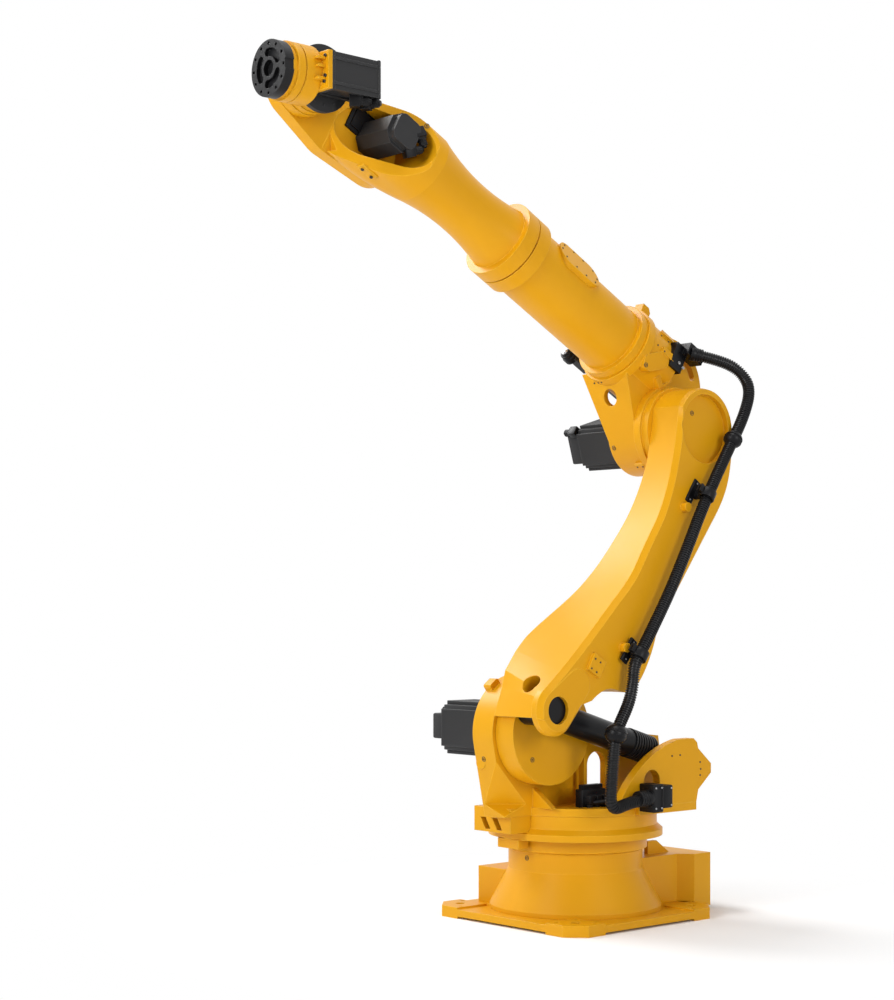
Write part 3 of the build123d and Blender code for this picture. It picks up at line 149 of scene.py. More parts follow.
# Base: a grey-iron foot plate, cone and cable boxes, shot-blasted, primed and sprayed with yellow
# two-part paint. The coat has a fine peel and is a little uneven; a lighter colour along its edges is a painted
# highlight.
grain = bpy.data.node_groups.new("coat_grain", "ShaderNodeTree")
for socket, value in (("Peel Scale", 900.0), ("Patch Scale", 4.0), ("Edge Width", 0.004)):
    dial = grain.interface.new_socket(socket, in_out="INPUT", socket_type="NodeSocketFloat")
    dial.default_value = value
for socket in ("Peel", "Patch", "Pores", "Edge"):
    grain.interface.new_socket(socket, in_out="OUTPUT", socket_type="NodeSocketFloat")
taken = grain.nodes.new("NodeGroupInput")
given = grain.nodes.new("NodeGroupOutput")
where = add_node(grain, "TexCoord").outputs["Object"]
peel = add_node(grain, "TexNoise", {"Detail": 2})
patch = add_node(grain, "TexNoise", {"Detail": 5})
pores = add_node(grain, "TexVoronoi", {"Scale": 140})
near = add_node(grain, "MapRange", {"From Min": 0.03, "From Max": 0.09, "To Min": 1, "To Max": 0})
# Edge: a mask along the mesh's edges, which the paints use to lay on a painted edge highlight.
round_off = add_node(grain, "Bevel", samples=4)
flat = add_node(grain, "NewGeometry")
turn = add_node(grain, "VectorMath", operation="DOT_PRODUCT")
ridge = add_node(grain, "MapRange", {"From Min": 0.995, "From Max": 0.90})
link(grain,
     (where, peel.inputs["Vector"]),
     (where, patch.inputs["Vector"]),
     (where, pores.inputs["Vector"]),
     (taken.outputs["Peel Scale"], peel.inputs["Scale"]),
     (taken.outputs["Patch Scale"], patch.inputs["Scale"]),
     (pores.outputs["Distance"], near.inputs["Value"]),
     (taken.outputs["Edge Width"], round_off.inputs["Radius"]),
     (round_off.outputs["Normal"], turn.inputs[0]),
     (flat.outputs["Normal"], turn.inputs[1]),
     (turn.outputs["Value"], ridge.inputs["Value"]),
     (peel.outputs["Fac"], given.inputs["Peel"]),
     (patch.outputs["Fac"], given.inputs["Patch"]),
     (near.outputs["Result"], given.inputs["Pores"]),
     (ridge.outputs["Result"], given.inputs["Edge"]))


def coated(name, light, dark, painted_edge_highlight, rough, peel_scale, peel_depth, edge, shine, metal=0.0):
    paint = bpy.data.materials.new(name)
    paint.use_nodes = True
    tree = paint.node_tree
    look = tree.nodes["Principled BSDF"]
    set_values(look, {"Specular IOR Level": shine, "Metallic": metal})
    fine = add_node(tree, "Group", {"Peel Scale": peel_scale, "Edge Width": edge}, node_tree=grain)
    tint = add_node(tree, "Mix", {"A": (*dark, 1), "B": (*light, 1)}, data_type="RGBA")
    # The edge colour is a painted highlight: a lighter colour mixed in along every edge where bevels would catch the
    # light.
    edge_highlight_mix = add_node(tree, "Mix", {"B": (*painted_edge_highlight, 1)}, data_type="RGBA")
    sheen = add_node(tree, "MapRange", {"From Min": 0.3, "From Max": 0.7, "To Min": rough[0], "To Max": rough[1]})
    corner = add_node(tree, "Bevel", {"Radius": edge}, samples=4)
    pore_depth = -0.35
    pit = add_node(tree, "Math", {1: pore_depth}, operation="MULTIPLY_ADD")
    bump = add_node(tree, "Bump", {"Strength": 0.22, "Distance": peel_depth})
    link(tree,
         (fine.outputs["Patch"], tint.inputs["Factor"]),
         (fine.outputs["Edge"], edge_highlight_mix.inputs["Factor"]),
         (tint.outputs["Result"], edge_highlight_mix.inputs["A"]),
         (edge_highlight_mix.outputs["Result"], look.inputs["Base Color"]),
         (fine.outputs["Patch"], sheen.inputs["Value"]),
         (sheen.outputs["Result"], look.inputs["Roughness"]),
         (fine.outputs["Pores"], pit.inputs[0]),
         (fine.outputs["Peel"], pit.inputs[2]),
         (pit.outputs["Value"], bump.inputs["Height"]),
         (corner.outputs["Normal"], bump.inputs["Normal"]),
         (bump.outputs["Normal"], look.inputs["Normal"]))
    return paint


def dress(paint, *names):
    for name in names:
        shell = nodes[name].data
        shell.materials.clear()
        shell.materials.append(paint)


yellow = coated("yellow_paint", (0.70, 0.340, 0.005), (0.64, 0.295, 0.003), (0.82, 0.46, 0.03),
                (0.34, 0.44), 700, 0.0006, 0.004, 0.18)
dress(yellow, "base_plate", "base_cone", "base_side_box", "base_rear_box", "base_panel")

# Base screws: hexagon bolts of blackened steel hold the rear cable panel, and a plug closes the grease port
# in the front of the neck; the plug's black ring and centre are painted shade for its groove and socket.
blackened = coated("blackened_screw", (0.020, 0.020, 0.021), (0.012, 0.012, 0.013), (0.06, 0.06, 0.06),
                   (0.32, 0.45), 1500, 0.0003, 0.0008, 0.4)


def only(*pieces):
    bpy.ops.object.select_all(action="DESELECT")
    for piece in pieces:
        piece.select_set(True)
    bpy.context.view_layer.objects.active = pieces[0]


def faces_up(face):
    return face.normal.z > 0.9


def faces_down(face):
    return face.normal.z < -0.9


def pick_faces(piece, test):
    only(piece)
    bpy.ops.object.mode_set(mode="EDIT")
    bpy.ops.mesh.select_mode(type="FACE")
    bpy.ops.mesh.select_all(action="DESELECT")
    bpy.ops.object.mode_set(mode="OBJECT")
    for face in piece.data.polygons:
        face.select = test(face)
    bpy.ops.object.mode_set(mode="EDIT")


def draw_out(move):
    bpy.ops.mesh.extrude_region_move(TRANSFORM_OT_translate={"value": move})


def step_face(piece, test, rim, move):
    pick_faces(piece, test)
    bpy.ops.mesh.inset(thickness=rim)
    draw_out(move)
    bpy.ops.object.mode_set(mode="OBJECT")


def set_place(piece):
    only(piece)
    bpy.ops.object.transform_apply(location=True, rotation=True, scale=True)


def break_edges(piece, width, steps=2):
    only(piece)
    bpy.ops.object.modifier_add(type="BEVEL")
    edge = piece.modifiers[-1]
    edge.width = width
    edge.segments = steps
    edge.limit_method = "ANGLE"
    edge.angle_limit = radians(35)
    bpy.ops.object.modifier_apply(modifier=edge.name)


def weld(pieces):
    only(*pieces)
    if len(pieces) > 1:
        bpy.ops.object.join()
    return bpy.context.object


def stand(piece, place, out, side=None):
    z = Vector(out).normalized()
    x = Vector(side) if side else z.orthogonal()
    x = (x - z * x.dot(z)).normalized()
    turned = Matrix((x, z.cross(x), z)).transposed().to_4x4()
    piece.matrix_world = Matrix.Translation(Vector(place)) @ turned
    set_place(piece)


def seat_copies(model, spots):
    copies = []
    for seat in spots:
        only(model)
        bpy.ops.object.duplicate()
        copy = bpy.context.object
        stand(copy, *seat)
        copies.append(copy)
    return weld(copies)


def fit(piece, name, paint, body, smooth=35):
    set_place(piece)
    piece.name = name
    piece.data.name = name
    piece.data.materials.clear()
    piece.data.materials.append(paint)
    bpy.ops.object.shade_smooth_by_angle(angle=radians(smooth))
    if body:
        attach(piece, body)
    return piece


def fasten(model, spots, name, body, paint=blackened):
    return fit(seat_copies(model, spots), name, paint, body)


def discard(*models):
    only(*models)
    bpy.ops.object.delete()


def cylinder(radius, low, high, sides):
    bpy.ops.object.select_all(action="DESELECT")
    bpy.ops.mesh.primitive_cylinder_add(vertices=sides, radius=radius, depth=high - low,
                                        location=(0, 0, (low + high) / 2))
    made = bpy.context.object
    set_place(made)
    return made


def pipe(outer, wall, width, sides, edge):
    made = cylinder(outer, -width / 2, width / 2, sides)
    pick_faces(made, lambda face: faces_up(face) or faces_down(face))
    bpy.ops.mesh.inset(thickness=wall, use_individual=True)
    bpy.ops.mesh.bridge_edge_loops()
    bpy.ops.object.mode_set(mode="OBJECT")
    break_edges(made, edge)
    return made


def socket_screw(radius, height):
    sunk = 0.002
    screw = cylinder(radius, -sunk, height, 18)
    step_face(screw, faces_up, radius * 0.45, (0, 0, -height * 0.6))
    break_edges(screw, radius * 0.1)
    return screw


def hex_bolt(across, height):
    washer_top, washer_deep, flats_to_corner = 0.0015, 0.0035, 0.577
    bolt = cylinder(across * flats_to_corner, washer_top, height + washer_top, 6)
    pick_faces(bolt, faces_up)
    bpy.ops.mesh.inset(thickness=across * 0.05)
    bpy.ops.transform.translate(value=(0, 0, across * 0.03))
    bpy.ops.object.mode_set(mode="OBJECT")
    step_face(bolt, faces_down, -across * 0.16, (0, 0, -washer_deep))
    break_edges(bolt, across * 0.03)
    return bolt


# The groove and socket are real, but their black colour is painted shade standing in for the shade inside them.
def groove_shade_plug(radius):
    ring = pipe(radius, radius * 0.22, 0.003, 24, 0.0003)
    return weld([ring, socket_screw(radius * 0.34, 0.0015)])


small_screw = socket_screw(0.0032, 0.002)
cap_screw = socket_screw(0.0058, 0.005)
groove_shade_port_plug = groove_shade_plug(0.0085)
plate_bolt = hex_bolt(0.017, 0.008)

panel_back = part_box("base_panel")[0][0]
panel_spots = [((panel_back, y, z), (-1, 0, 0)) for y in (-0.146, 0, 0.146) for z in (0.056, 0.160)]
fasten(plate_bolt, panel_spots, "base_panel_bolts", "base")
fasten(groove_shade_port_plug, [((0.234, 0, 0.2213), (1, 0, 0))], "neck_plug", "base")

# Turret: the turning frame with its two balancer brackets, cast in iron and painted like the base.
# Tapped holes in the near bracket are closed with small socket screws.
dress(yellow, "turret_ring", "turret_frame", "turn_stop", "fork_near", "fork_far")
to_left = (0, 1, 0)
bracket_face = 0.305
bracket_spots = [((x, bracket_face, z), to_left) for x, z in (
    (-0.1644, 0.5678), (-0.2053, 0.5691), (-0.3092, 0.5394), (-0.3118, 0.5148), (-0.3092, 0.494))]
fasten(small_screw, bracket_spots, "bracket_screws", "turret")
fasten(groove_shade_port_plug, [((0.4427, 0.0094, 0.5715), (0.979, 0, -0.203))], "shoulder_plug", "turret")

# Motors: die-cast aluminium housings in dark grey powder coat. The shoulder's is built of crossed blocks,
# which step its corners, with sunk panels, a smaller cap, a screwed square flange and an angled plug.
grey = coated("motor_coat", (0.030, 0.030, 0.031), (0.022, 0.022, 0.023), (0.08, 0.08, 0.08),
              (0.40, 0.55), 1400, 0.0008, 0.002, 0.18)
dress(grey, "j4_motor", "j5_motor", "j6_motor", "wrist_disc")
plug_black = coated("plug_black", (0.006, 0.006, 0.007), (0.004, 0.004, 0.005), (0.03, 0.03, 0.03),
                    (0.32, 0.46), 1800, 0.0003, 0.001, 0.16)


def block(low, high, edge):
    bpy.ops.object.select_all(action="DESELECT")
    middle = [(a + b) / 2 for a, b in zip(low, high)]
    bpy.ops.mesh.primitive_cube_add(size=1, location=middle)
    made = bpy.context.object
    made.scale = [b - a for a, b in zip(low, high)]
    set_place(made)
    break_edges(made, edge)
    return made


def servo_body(half, notch, length, cap_half, cap_length):
    step = half - notch * 0.5
    core = half - notch
    bodies = [block((-half, -core, 0), (half, core, length), 0.002),
              block((-core, -half, 0), (core, half, length), 0.002),
              block((-step, -step, 0), (step, step, length), 0.002)]
    for body in bodies[:2]:
        pick_faces(body, lambda face: abs(face.normal.z) < 0.1 and face.area > length * core)
        bpy.ops.mesh.inset(thickness=0.007, depth=-0.0015, use_individual=True)
        bpy.ops.object.mode_set(mode="OBJECT")
    cap_low = cap_half * 0.86
    cap_seat = 0.004
    cap = block((-cap_half, -cap_low, length - cap_seat), (cap_half, cap_low, length + cap_length), 0.006)
    step_face(cap, faces_up, 0.008, (0, 0, -0.003))
    return weld(bodies + [cap])


def angled_plug(size):
    bpy.ops.object.select_all(action="DESELECT")
    bpy.ops.mesh.primitive_cube_add(size=1, location=(0, 0, size * 0.5))
    body = bpy.context.object
    body.scale = (size, size, size * 1.08)
    set_place(body)
    step_face(body, lambda face: face.normal.x > 0.9, size * 0.12, (size * 0.25, 0, 0))
    step_face(body, faces_down, -size * 0.12, (0, 0, -size * 0.12))
    break_edges(body, size * 0.09)
    nut_middle = 1.02
    bpy.ops.object.select_all(action="DESELECT")
    bpy.ops.mesh.primitive_cylinder_add(vertices=16, radius=size * 0.4, depth=size * 0.6,
                                        location=(size * nut_middle, 0, size * 0.52),
                                        rotation=(0, radians(90), 0))
    nut = bpy.context.object
    set_place(nut)
    pick_faces(nut, lambda face: face.normal.x > 0.9)
    bpy.ops.mesh.inset(thickness=size * 0.1)
    draw_out((size * 0.2, 0, 0))
    bpy.ops.transform.resize(value=(1, 0.8, 0.8))
    bpy.ops.object.mode_set(mode="OBJECT")
    pick_faces(nut, lambda face: abs(face.normal.x) < 0.1 and round(face.center.x / size, 2) == nut_middle)
    bpy.ops.mesh.inset(thickness=size * 0.03, use_individual=True)
    bpy.ops.transform.shrink_fatten(value=-size * 0.03)
    bpy.ops.object.mode_set(mode="OBJECT")
    return weld([body, nut])


plug = angled_plug(0.026)

to_right = (0, -1, 0)
forward = (1, 0, 0)
motor_x, motor_y, motor_z = 0.265, -0.031, 0.660
flange_half, flange_thick, screw_out = 0.1, 0.022, 0.088
shoulder_flange = ((-flange_half, -flange_half, 0), (flange_half, flange_half, flange_thick), 0.004)
shoulder_motor = weld([servo_body(0.093, 0.028, 0.274, 0.052, 0.092), block(*shoulder_flange)])
stand(shoulder_motor, (motor_x, motor_y, motor_z), to_right, forward)
fit(shoulder_motor, "shoulder_motor", grey, "turret")
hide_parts("j2_motor")
flange_spots = [((motor_x + x, motor_y - flange_thick, motor_z + z), to_right)
                for x in (-screw_out, screw_out) for z in (-screw_out, screw_out)]
fasten(cap_screw, flange_spots, "shoulder_motor_screws", "turret")
fasten(plug, [((motor_x, -0.355, 0.704), (0, 0, 1), forward)], "shoulder_motor_plug", "turret", plug_black)

# Deck plugs: a moulded plug rail stands on the turret deck behind the shoulder, and three short
# jacketed cables run from it along the deck and down through it.
rubber = coated("black_rubber", (0.013, 0.013, 0.014), (0.008, 0.008, 0.009), (0.02, 0.02, 0.02),
                (0.24, 0.34), 900, 0.0004, 0.001, 0.2)


def route_line(name, points, fineness):
    line = bpy.data.curves.new(name, "CURVE")
    line.dimensions = "3D"
    run = line.splines.new("NURBS")
    run.points.add(len(points) - 1)
    for knot, point in zip(run.points, points):
        knot.co = (*point, 1)
    run.order_u = 3
    run.use_endpoint_u = True
    line.resolution_u = fineness
    path = bpy.data.objects.new(name, line)
    bpy.context.collection.objects.link(path)
    return path


def short_cable(points, radius):
    cable = route_line("cable", points, 8)
    cable.data.bevel_depth = radius
    cable.data.bevel_resolution = 3
    cable.data.use_fill_caps = True
    only(cable)
    bpy.ops.object.convert(target="MESH")
    return bpy.context.object


plug_places = (0.062, 0.095, 0.128)
rail = block((0.038, 0.150, 0.400), (0.152, 0.186, 0.462), 0.004)
step_face(rail, faces_up, 0.006, (0, 0, 0.014))
deck_plugs = seat_copies(plug, [((x, 0.184, 0.430), to_left, (0, 0, -1)) for x in plug_places])
fit(weld([rail, deck_plugs]), "deck_plugs", plug_black, "turret")
cable_radius = 0.0065
cables = [
    short_cable([(x, 0.197, 0.420), (x, 0.199, 0.404 + lift), (x - 0.03, 0.215 + lift, 0.409 + lift),
                 (-0.01, 0.222 + lift, 0.410 + lift), (-0.045, 0.215, 0.410), (-0.06, 0.205, 0.396)], cable_radius)
    for x, lift in zip(plug_places, (0.001, 0.008, 0.014))
]
fit(weld(cables), "deck_cables", rubber, "turret")

# Hose inlet block: two bolted blocks of black nylon on the near bracket, with a ribbed gland
# that grips the hose's lower end.
inlet_low, inlet_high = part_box("hose_block")
step_x = inlet_high[0] - 0.048
rear_drop = 0.003
front_half = block((step_x, inlet_low[1], inlet_low[2]), inlet_high, 0.004)
step_face(front_half, lambda face: face.normal.y > 0.9, 0.005, (0, -0.002, 0))
rear_half = block((step_x - 0.050, inlet_low[1], inlet_low[2] + 0.012),
                  (step_x + 0.002, inlet_high[1] - rear_drop, inlet_high[2] - 0.006), 0.005)


def ribbed_gland(radius, length, ribs):
    gland = cylinder(radius, 0, length * 0.4, 24)
    pick_faces(gland, faces_up)
    for rib in range(ribs):
        for swell in (0.92, 1.07):
            draw_out((0, 0, 0.0006))
            bpy.ops.transform.resize(value=(swell, swell, 1))
            draw_out((0, 0, length * 0.3 / ribs))
    bpy.ops.object.mode_set(mode="OBJECT")
    break_edges(gland, radius * 0.03)
    return gland


hose_y = 0.346
inlet_z = 0.436
inlet_gland = ribbed_gland(0.029, 0.050, 3)
stand(inlet_gland, (inlet_high[0] - 0.002, hose_y, inlet_z), forward)
inlet = fit(weld([front_half, rear_half, inlet_gland]), "hose_inlet", plug_black, "turret")
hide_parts("hose_block")
zinc = coated("zinc_screw", (0.46, 0.46, 0.47), (0.36, 0.36, 0.37), (0.60, 0.60, 0.60),
              (0.28, 0.4), 1600, 0.0002, 0.0008, 0.5, 1.0)
inlet_spots = [((step_x + x, inlet_high[1] - drop, z), to_left) for x, z, drop in (
    (0.010, 0.402, 0), (0.010, 0.471, 0), (0.038, 0.402, 0), (0.038, 0.471, 0),
    (-0.041, 0.410, rear_drop), (-0.041, 0.467, rear_drop))]
fasten(small_screw, inlet_spots, "hose_inlet_screws", "turret", zinc)

# Lower arm: one long iron casting from the shoulder hub to the elbow dish, painted yellow. Flush socket
# screws close its tapped pads, and larger plugs its grease ports.
dress(yellow, "lower_arm")
arm_face = (-0.008, 1, 0.013)
pad_spots = [(place, arm_face) for place in (
    (0.2183, 0.3115, 0.9098), (0.195, 0.3115, 0.8974), (0.2368, 0.312, 0.8785), (0.2141, 0.312, 0.8654))]
fasten(small_screw, pad_spots, "arm_pad_screws", "lower_arm")
dish_y = 0.2627
plug_spots = [(place, to_left) for place in (
    (-0.3146, dish_y, 1.7598), (-0.3060, dish_y, 1.6150), (0.355, 0.152, 0.5727))]
fasten(groove_shade_port_plug, plug_spots, "arm_plugs", "lower_arm")

# Balancer: a spring cylinder of black-enamelled tube with a black rod and a rubber bellows, hung on
# pins between the turret's brackets and the arm. The hose's bracket has the same enamel.
black = coated("black_enamel", (0.006, 0.006, 0.007), (0.004, 0.004, 0.005), (0.03, 0.03, 0.03),
               (0.26, 0.36), 1200, 0.0004, 0.002, 0.17)
dress(black, "fork_pin", "arm_pin", "balancer_tube", "balancer_rod", "hose_bracket")
dress(rubber, "balancer_bellows")

# Elbow: the casting that carries the forearm's drives, with screws and plugs in its tapped holes and a
# stop block below. The elbow motor is built like the shoulder's and has an angled plug; the roll motor gets
# corner strips, an end plate and a round screwed plug.
dress(yellow, "elbow_casting", "j3_ring")
top_pad_out = (-0.27, 0.82, 0.504)
elbow_spots = [
    ((-0.3185, 0.1155, 2.0462), top_pad_out), ((-0.3546, 0.1154, 2.0272), top_pad_out),
    ((-0.2752, 0.138, 2.0069), (-0.075, 0.987, 0.139)), ((-0.2973, 0.1493, 1.9857), (-0.066, 0.99, 0.123)),
    ((-0.168, -0.0698, 1.8812), (0.976, 0, -0.22)), ((-0.155, -0.0382, 1.8798), (0.454, -0.259, -0.852)),
    ((-0.1487, -0.0167, 1.8787), (0.472, -0.098, -0.876)),
]
fasten(small_screw, elbow_spots, "elbow_screws", "elbow")
elbow_ports = [((-0.2049, 0.146, 1.9306), to_left), ((-0.2222, -0.0257, 1.6496), (0.927, 0, -0.374))]
fasten(groove_shade_port_plug, elbow_ports, "elbow_plugs", "elbow")
bracket_bolt_spots = [((-0.371, 0.150, 1.950), to_left), ((-0.391, 0.150, 1.934), to_left)]
fasten(cap_screw, bracket_bolt_spots, "bracket_bolts", "elbow", zinc)
stop_block = block((-0.024, -0.012, -0.004), (0.024, 0.012, 0.012), 0.003)
step_face(stop_block, faces_up, 0.003, (0, 0, 0.002))
stop_out = Vector((0.63, 0, -0.777)).normalized()
stop_seat = Vector((-0.2657, 0.0702, 1.5893))
stop_top = stop_seat + stop_out * 0.0135
stand(stop_block, stop_seat, stop_out, to_left)
fit(stop_block, "elbow_stop_block", yellow, "elbow")
stop_spots = [(stop_top + Vector((0, y, 0)), stop_out) for y in (-0.013, 0.013)]
fasten(small_screw, stop_spots, "elbow_stop_screws", "elbow")

elbow_motor = servo_body(0.086, 0.026, 0.200, 0.066, 0.070)
stand(elbow_motor, (-0.350, -0.045, 1.681), to_right, (0.957, 0, -0.289))
fit(elbow_motor, "elbow_motor", grey, "elbow")
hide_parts("j3_motor")
wide_plug = angled_plug(0.034)
fasten(wide_plug, [((-0.2835, -0.268, 1.7142), (0.881, 0, 0.473), (0.45, -0.85, 0.25))],
       "elbow_motor_plug", "elbow", plug_black)


def round_plug(radius, length):
    made = cylinder(radius, 0, length * 0.5, 24)
    pick_faces(made, faces_up)
    for rim, rise in ((0.14, 0.35), (0.2, 0.15)):
        bpy.ops.mesh.inset(thickness=radius * rim)
        draw_out((0, 0, length * rise))
    bpy.ops.object.mode_set(mode="OBJECT")
    break_edges(made, radius * 0.06)
    return made


along = Vector((0.8813, 0, 0.4726))
strip_low, strip_high, strip_thick, strip_wide = 0.012, 0.273, 0.003, 0.006
roll_trim = []
for out in (-0.055, 0.055):
    for side in (-0.038, 0.038):
        roll_trim.append(block((out - strip_thick, side - strip_wide, strip_low),
                               (out + strip_thick, side + strip_wide, strip_high), 0.002))
        roll_trim.append(block((side - strip_wide, out - strip_thick, strip_low),
                               (side + strip_wide, out + strip_thick, strip_high), 0.002))
roll_end = block((-0.048, -0.048, -0.005), (0.048, 0.048, 0.004), 0.003)
step_face(roll_end, faces_down, 0.010, (0, 0, 0.003))
roll_trim = weld(roll_trim + [roll_end])
stand(roll_trim, (-0.5361, -0.190, 1.8798), along, to_left)
fit(roll_trim, "roll_motor_strips", grey, "elbow")
roll_plug = round_plug(0.030, 0.046)
stand(roll_plug, (-0.190, -0.202, 1.986), along)
fit(roll_plug, "roll_motor_plug", plug_black, "elbow")
plug_rim = round_plug(0.015, 0.010)
stand(plug_rim, (-0.1525, -0.202, 2.0061), along)
fit(plug_rim, "roll_motor_plug_rim", zinc, "elbow")
bracket_gland = ribbed_gland(0.0255, 0.040, 3)
stand(bracket_gland, (-0.420, 0.161, 1.9865), (-0.092, 0.061, -0.022))
fit(bracket_gland, "elbow_hose_gland", plug_black, "elbow")

# Forearm: a cast tube and a forked housing that holds the wrist, painted yellow. Ten socket screws hold
# the flat oval cover over the tube's service hole, a tapped pad sits under the housing, and plugs and a
# black liner lie in the wrist motor's pocket.
dress(yellow, "forearm_tube", "access_cover", "forearm_casting", "j5_ring")
cover_out = Vector((-0.271, 0.819, 0.506)).normalized()
cover_cross = cover_out.cross(along)
cover_middle = Vector((0.1203, 0, 2.1921)) + cover_out * 0.131
cover_spots = [(cover_middle + along * run + cover_cross * cross, cover_out) for run, cross in (
    (-0.094, 0), (-0.078, 0.032), (-0.078, -0.032), (-0.026, 0.041), (-0.026, -0.041),
    (0.026, 0.041), (0.026, -0.041), (0.078, 0.032), (0.078, -0.032), (0.094, 0))]
fasten(small_screw, cover_spots, "cover_screws", "forearm")

under = Vector((0.449, 0, -0.894)).normalized()
pad_seat = Vector((0.9248, -0.0149, 2.4765))
pad_top = pad_seat + under * 0.006
tool_pad = block((-0.036, -0.017, -0.004), (0.036, 0.017, 0.005), 0.003)
step_face(tool_pad, faces_up, 0.003, (0, 0, 0.0015))
stand(tool_pad, pad_seat, under, along)
fit(tool_pad, "forearm_pad", yellow, "forearm")
fasten(cap_screw, [(pad_top + along * run, under) for run in (-0.0205, 0.0205)], "forearm_pad_screws", "forearm")
fasten(groove_shade_port_plug, [((0.7508, 0.0739, 2.6329), (0.543, 0.788, 0.291))], "forearm_plug", "forearm")
pocket_spots = [((0.800, 0.070, 2.600), (-0.957, 0, 0.289), (-0.289, 0.3, -0.957)),
                ((0.826, 0.066, 2.556), (-0.289, 0, -0.957), (-0.957, 0.3, 0.289))]
fasten(wide_plug, pocket_spots, "pocket_motor_plugs", "forearm", plug_black)
liner = block((-0.058, -0.045, -0.003), (0.060, 0.048, 0.008), 0.003)
step_face(liner, faces_up, 0.010, (0, 0, 0.006))
elbow_axis = Vector((-0.3633, 0, 1.7058))
upward = Vector((-0.4726, 0, 0.8813))
pocket_wall = Vector((0, -0.098, 0))
stand(liner, elbow_axis + along * 1.540 + upward * 0.243 + pocket_wall, to_left, along)
fit(liner, "pocket_liner", plug_black, "forearm")

# Wrist: a hub that tilts in the housing, with the flange motor bolted along its near face. Socket screws
# hold the disc and the motor's plate, cast gussets stiffen the plate, and two angled plugs feed the motor.
dress(yellow, "wrist_body")
wrist_x, wrist_z, disc_face, disc_circle = 1.1285, 2.7327, 0.016, 0.084
disc_spots = [((wrist_x + disc_circle * cos(radians(a)), disc_face, wrist_z + disc_circle * sin(radians(a))), to_left)
              for a in (62, 90, 118, 242, 268, 294)]
fasten(small_screw, disc_spots, "wrist_disc_screws", "wrist")
plate_face = 1.1885
plate_spots = [((plate_face, y, z), forward) for y, z in (
    (0.1048, 2.775), (0.1048, 2.7139), (0.034, 2.775), (0.034, 2.697), (0.1, 2.697))]
fasten(cap_screw, plate_spots, "wrist_plate_screws", "wrist")
gussets = []
gusset_back, gusset_tip, gusset_foot, gusset_top = 1.186, 1.218, 0.080, 0.106
for height in (2.7050, 2.7427, 2.7680):
    gusset = block((gusset_back, gusset_foot, height - 0.004), (gusset_tip, gusset_top, height + 0.004), 0.0015)
    pick_faces(gusset, lambda face: face.normal.x > 0.9)
    bpy.ops.transform.resize(value=(1, 0.35, 1), center_override=(gusset_tip, gusset_foot, height))
    bpy.ops.object.mode_set(mode="OBJECT")
    gussets.append(gusset)
fit(weld(gussets), "wrist_gussets", yellow, "wrist")
ledge_back, ledge_front, ledge_half = 0.992, 1.168, 0.005
ledges = [block((ledge_back, 0.112, z - ledge_half), (ledge_front, 0.1195, z + ledge_half), 0.002)
          for z in (2.694, 2.771)]
ledges += [block((ledge_back, y - ledge_half, 2.786), (ledge_front, y + ledge_half, 2.7945), 0.002)
           for y in (0.040, 0.100)]
ledges += [block((back, 0.017, 2.672), (front, 0.1190, 2.7940), 0.003)
           for back, front in ((0.980, 0.990), (1.160, 1.174))]
fit(weld(ledges), "flange_motor_ledges", grey, "wrist")
downward = (0, 0, -1)
flange_plug_spots = [((1.052, 0.078, 2.678), downward, (-0.75, 0.66, 0)),
                     ((1.006, 0.074, 2.678), downward, (-0.5, 0.86, 0))]
fasten(wide_plug, flange_plug_spots, "flange_motor_plugs", "wrist", plug_black)

# Tool flange: the turned steel disc that tools bolt to, blackened all over, with its bolt circle,
# pilot bore and curved slots. It screws to the output of the last gearbox.
flange_black = coated("flange_black", (0.012, 0.012, 0.013), (0.008, 0.008, 0.009), (0.05, 0.05, 0.05),
                      (0.30, 0.42), 1500, 0.0003, 0.001, 0.18)
dress(flange_black, "tool_flange")

# Dress hose: one black corrugated hose in three spans, from the turret up the arm and round the elbow.
# One rib is modelled and repeated along each span's line.


def corrugated_hose(name, route):
    groove_radius, rib_radius_ratio = 0.0170, 1.235
    path = route_line(name + "_line", route, 24)
    bpy.ops.object.select_all(action="DESELECT")
    bpy.ops.mesh.primitive_circle_add(vertices=20, radius=groove_radius, rotation=(0, radians(90), 0))
    hose = bpy.context.object
    set_place(hose)
    bpy.ops.object.mode_set(mode="EDIT")
    bpy.ops.mesh.select_all(action="SELECT")
    for step, swell in ((0.0018, 1), (0.0009, rib_radius_ratio), (0.0030, 1), (0.0009, 0.8097), (0.0018, 1)):
        bpy.ops.mesh.extrude_edges_move(TRANSFORM_OT_translate={"value": (step, 0, 0)})
        bpy.ops.transform.resize(value=(1, swell, swell))
    bpy.ops.object.mode_set(mode="OBJECT")
    only(hose)
    bpy.ops.object.modifier_add(type="ARRAY")
    rows = hose.modifiers[-1]
    rows.fit_type = "FIT_CURVE"
    rows.curve = path
    rows.use_merge_vertices = True
    rows.merge_threshold = 0.0003
    bpy.ops.object.modifier_apply(modifier=rows.name)
    bpy.ops.object.modifier_add(type="CURVE")
    follow = hose.modifiers[-1]
    follow.object = path
    bpy.ops.object.modifier_apply(modifier=follow.name)
    bpy.ops.object.mode_set(mode="EDIT")
    bpy.ops.mesh.select_all(action="SELECT")
    bpy.ops.mesh.fill_holes(sides=0)
    bpy.ops.mesh.select_all(action="SELECT")
    bpy.ops.mesh.normals_make_consistent(inside=False)
    bpy.ops.object.mode_set(mode="OBJECT")
    discard(path)
    return fit(hose, name, rubber, None, 50)


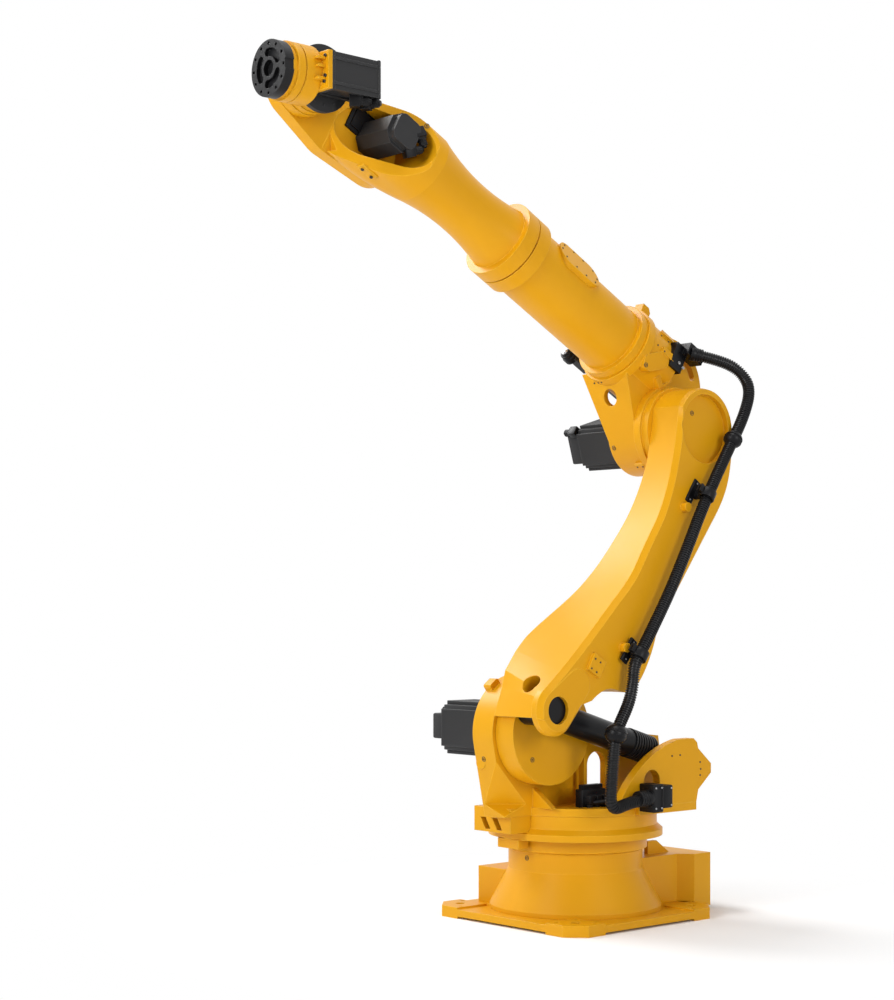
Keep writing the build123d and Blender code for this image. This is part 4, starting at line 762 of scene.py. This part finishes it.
turret_hose = corrugated_hose("turret_span", [(x, hose_y, z) for x, z in (
    (0, inlet_z), (0.090, 0.428), (0.184, 0.404), (0.176, 0.510), (0.168, 0.590), (0.160, 0.648),
    (0.146, 0.682), (0.095, 0.757), (0.074, 0.822), (0.0696, 0.8843), (0.0553, 0.9036))])
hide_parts("hose_turret")
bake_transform(turret_hose)
arm_hose = corrugated_hose("arm_span", [
    (0.055, hose_y, 0.904), (-0.069, hose_y, 1.071), (-0.175, hose_y, 1.242), (-0.306, 0.340, 1.470),
    (-0.492, 0.313, 1.696)])
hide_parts("hose_arm")
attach(arm_hose, "lower_arm")
elbow_hose = corrugated_hose("elbow_span", [
    (-0.4923, 0.313, 1.6964), (-0.545, 0.3053, 1.7604), (-0.592, 0.297, 1.862), (-0.578, 0.262, 1.925),
    (-0.518, 0.226, 1.963), (-0.426, 0.165, 1.985)])
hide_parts("hose_elbow")
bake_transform(elbow_hose)

# Hose clamps: split rings of black nylon on posts, screwed through a foot plate to the arm. Two ball-shaped
# shells grip the hose where it bends, one at the elbow's end of the arm and one above the turret.


def split_ring(inner, outer, width):
    ring = pipe(outer, outer - inner, width, 32, 0.002)
    ear_low, ear_high, ear_wide = outer - 0.003, outer + 0.018, width * 0.42
    ears = [block((ear_low, middle - 0.0035, -ear_wide), (ear_high, middle + 0.0035, ear_wide), 0.0015)
            for middle in (-0.0055, 0.0055)]
    return weld([ring] + ears)


def arm_clamp(name, centre, hose_run, foot_y):
    run = Vector(hose_run).normalized()
    centre = Vector(centre)
    foot_place = Vector((centre.x, foot_y, centre.z))
    ring = split_ring(0.0215, 0.0300, 0.034)
    stand(ring, centre, run, (run.z, 0, -run.x))
    post_collar, ring_depth = 0.02, 0.043
    post = cylinder(0.015, 0, post_collar, 24)
    step_face(post, faces_up, 0.002, (0, 0, centre.y - foot_y - ring_depth))
    stand(post, foot_place, arm_face)
    foot = block((-0.046, -0.017, -0.004), (0.046, 0.017, 0.005), 0.003)
    step_face(foot, faces_up, 0.003, (0, 0, 0.0012))
    foot_top, foot_shift, screw_reach = 0.006, 0.022, 0.034
    flat_run = Vector((run.x, 0, run.z)).normalized()
    foot_at = foot_place + Vector((flat_run.z, 0, -flat_run.x)) * foot_shift
    stand(foot, foot_at, arm_face, flat_run)
    clamp = fit(weld([ring, post, foot]), name, plug_black, "lower_arm")
    spots = [(foot_at + Vector((0, foot_top, 0)) + flat_run * s, arm_face) for s in (-screw_reach, screw_reach)]
    fasten(small_screw, spots, name + "_bolts", "lower_arm", zinc)
    return clamp


low_clamp = arm_clamp("arm_clamp_low", (0.0426, hose_y, 0.9207), (-0.124, 0, 0.167), 0.312)
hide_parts("hose_clamp_low")
mid_clamp = arm_clamp("arm_clamp_mid", (-0.306, 0.340, 1.470), (-0.317, -0.033, 0.454), 0.2885)
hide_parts("hose_clamp_mid")


def ball_shell(radius):
    bpy.ops.object.select_all(action="DESELECT")
    bpy.ops.mesh.primitive_uv_sphere_add(segments=28, ring_count=18, radius=radius)
    shell = bpy.context.object
    shell.scale = (1, 1, 0.88)
    set_place(shell)
    pick_faces(shell, lambda face: abs(face.center.z) < radius * 0.10)
    bpy.ops.mesh.inset(thickness=0.0008)
    bpy.ops.transform.shrink_fatten(value=-0.003)
    bpy.ops.object.mode_set(mode="OBJECT")
    pick_faces(shell, lambda face: abs(face.center.z) > radius * 0.80)
    draw_out((0, 0, 0))
    bpy.ops.transform.resize(value=(1, 1, 1.06))
    bpy.ops.object.mode_set(mode="OBJECT")
    return shell


top_x, top_z = -0.4725, 1.6727
top_ball = ball_shell(0.034)
stand(top_ball, (top_x, 0.3158, top_z), (-0.186, -0.027, 0.226))
top_post = block((-0.014, -0.014, -0.004), (0.014, 0.014, 0.034), 0.004)
stand(top_post, (top_x, 0.2875, top_z), arm_face)
top_clamp = fit(weld([top_ball, top_post]), "arm_clamp_top", plug_black, "lower_arm", 60)
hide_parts("hose_clamp_top")
turret_ball = ball_shell(0.039)
stand(turret_ball, (0.157, hose_y, 0.660), (-0.03, 0, 0.1))
fit(turret_ball, "hose_ball", plug_black, None, 60)
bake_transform(turret_ball)

discard(small_screw, cap_screw, groove_shade_port_plug, plate_bolt, plug, wide_plug)
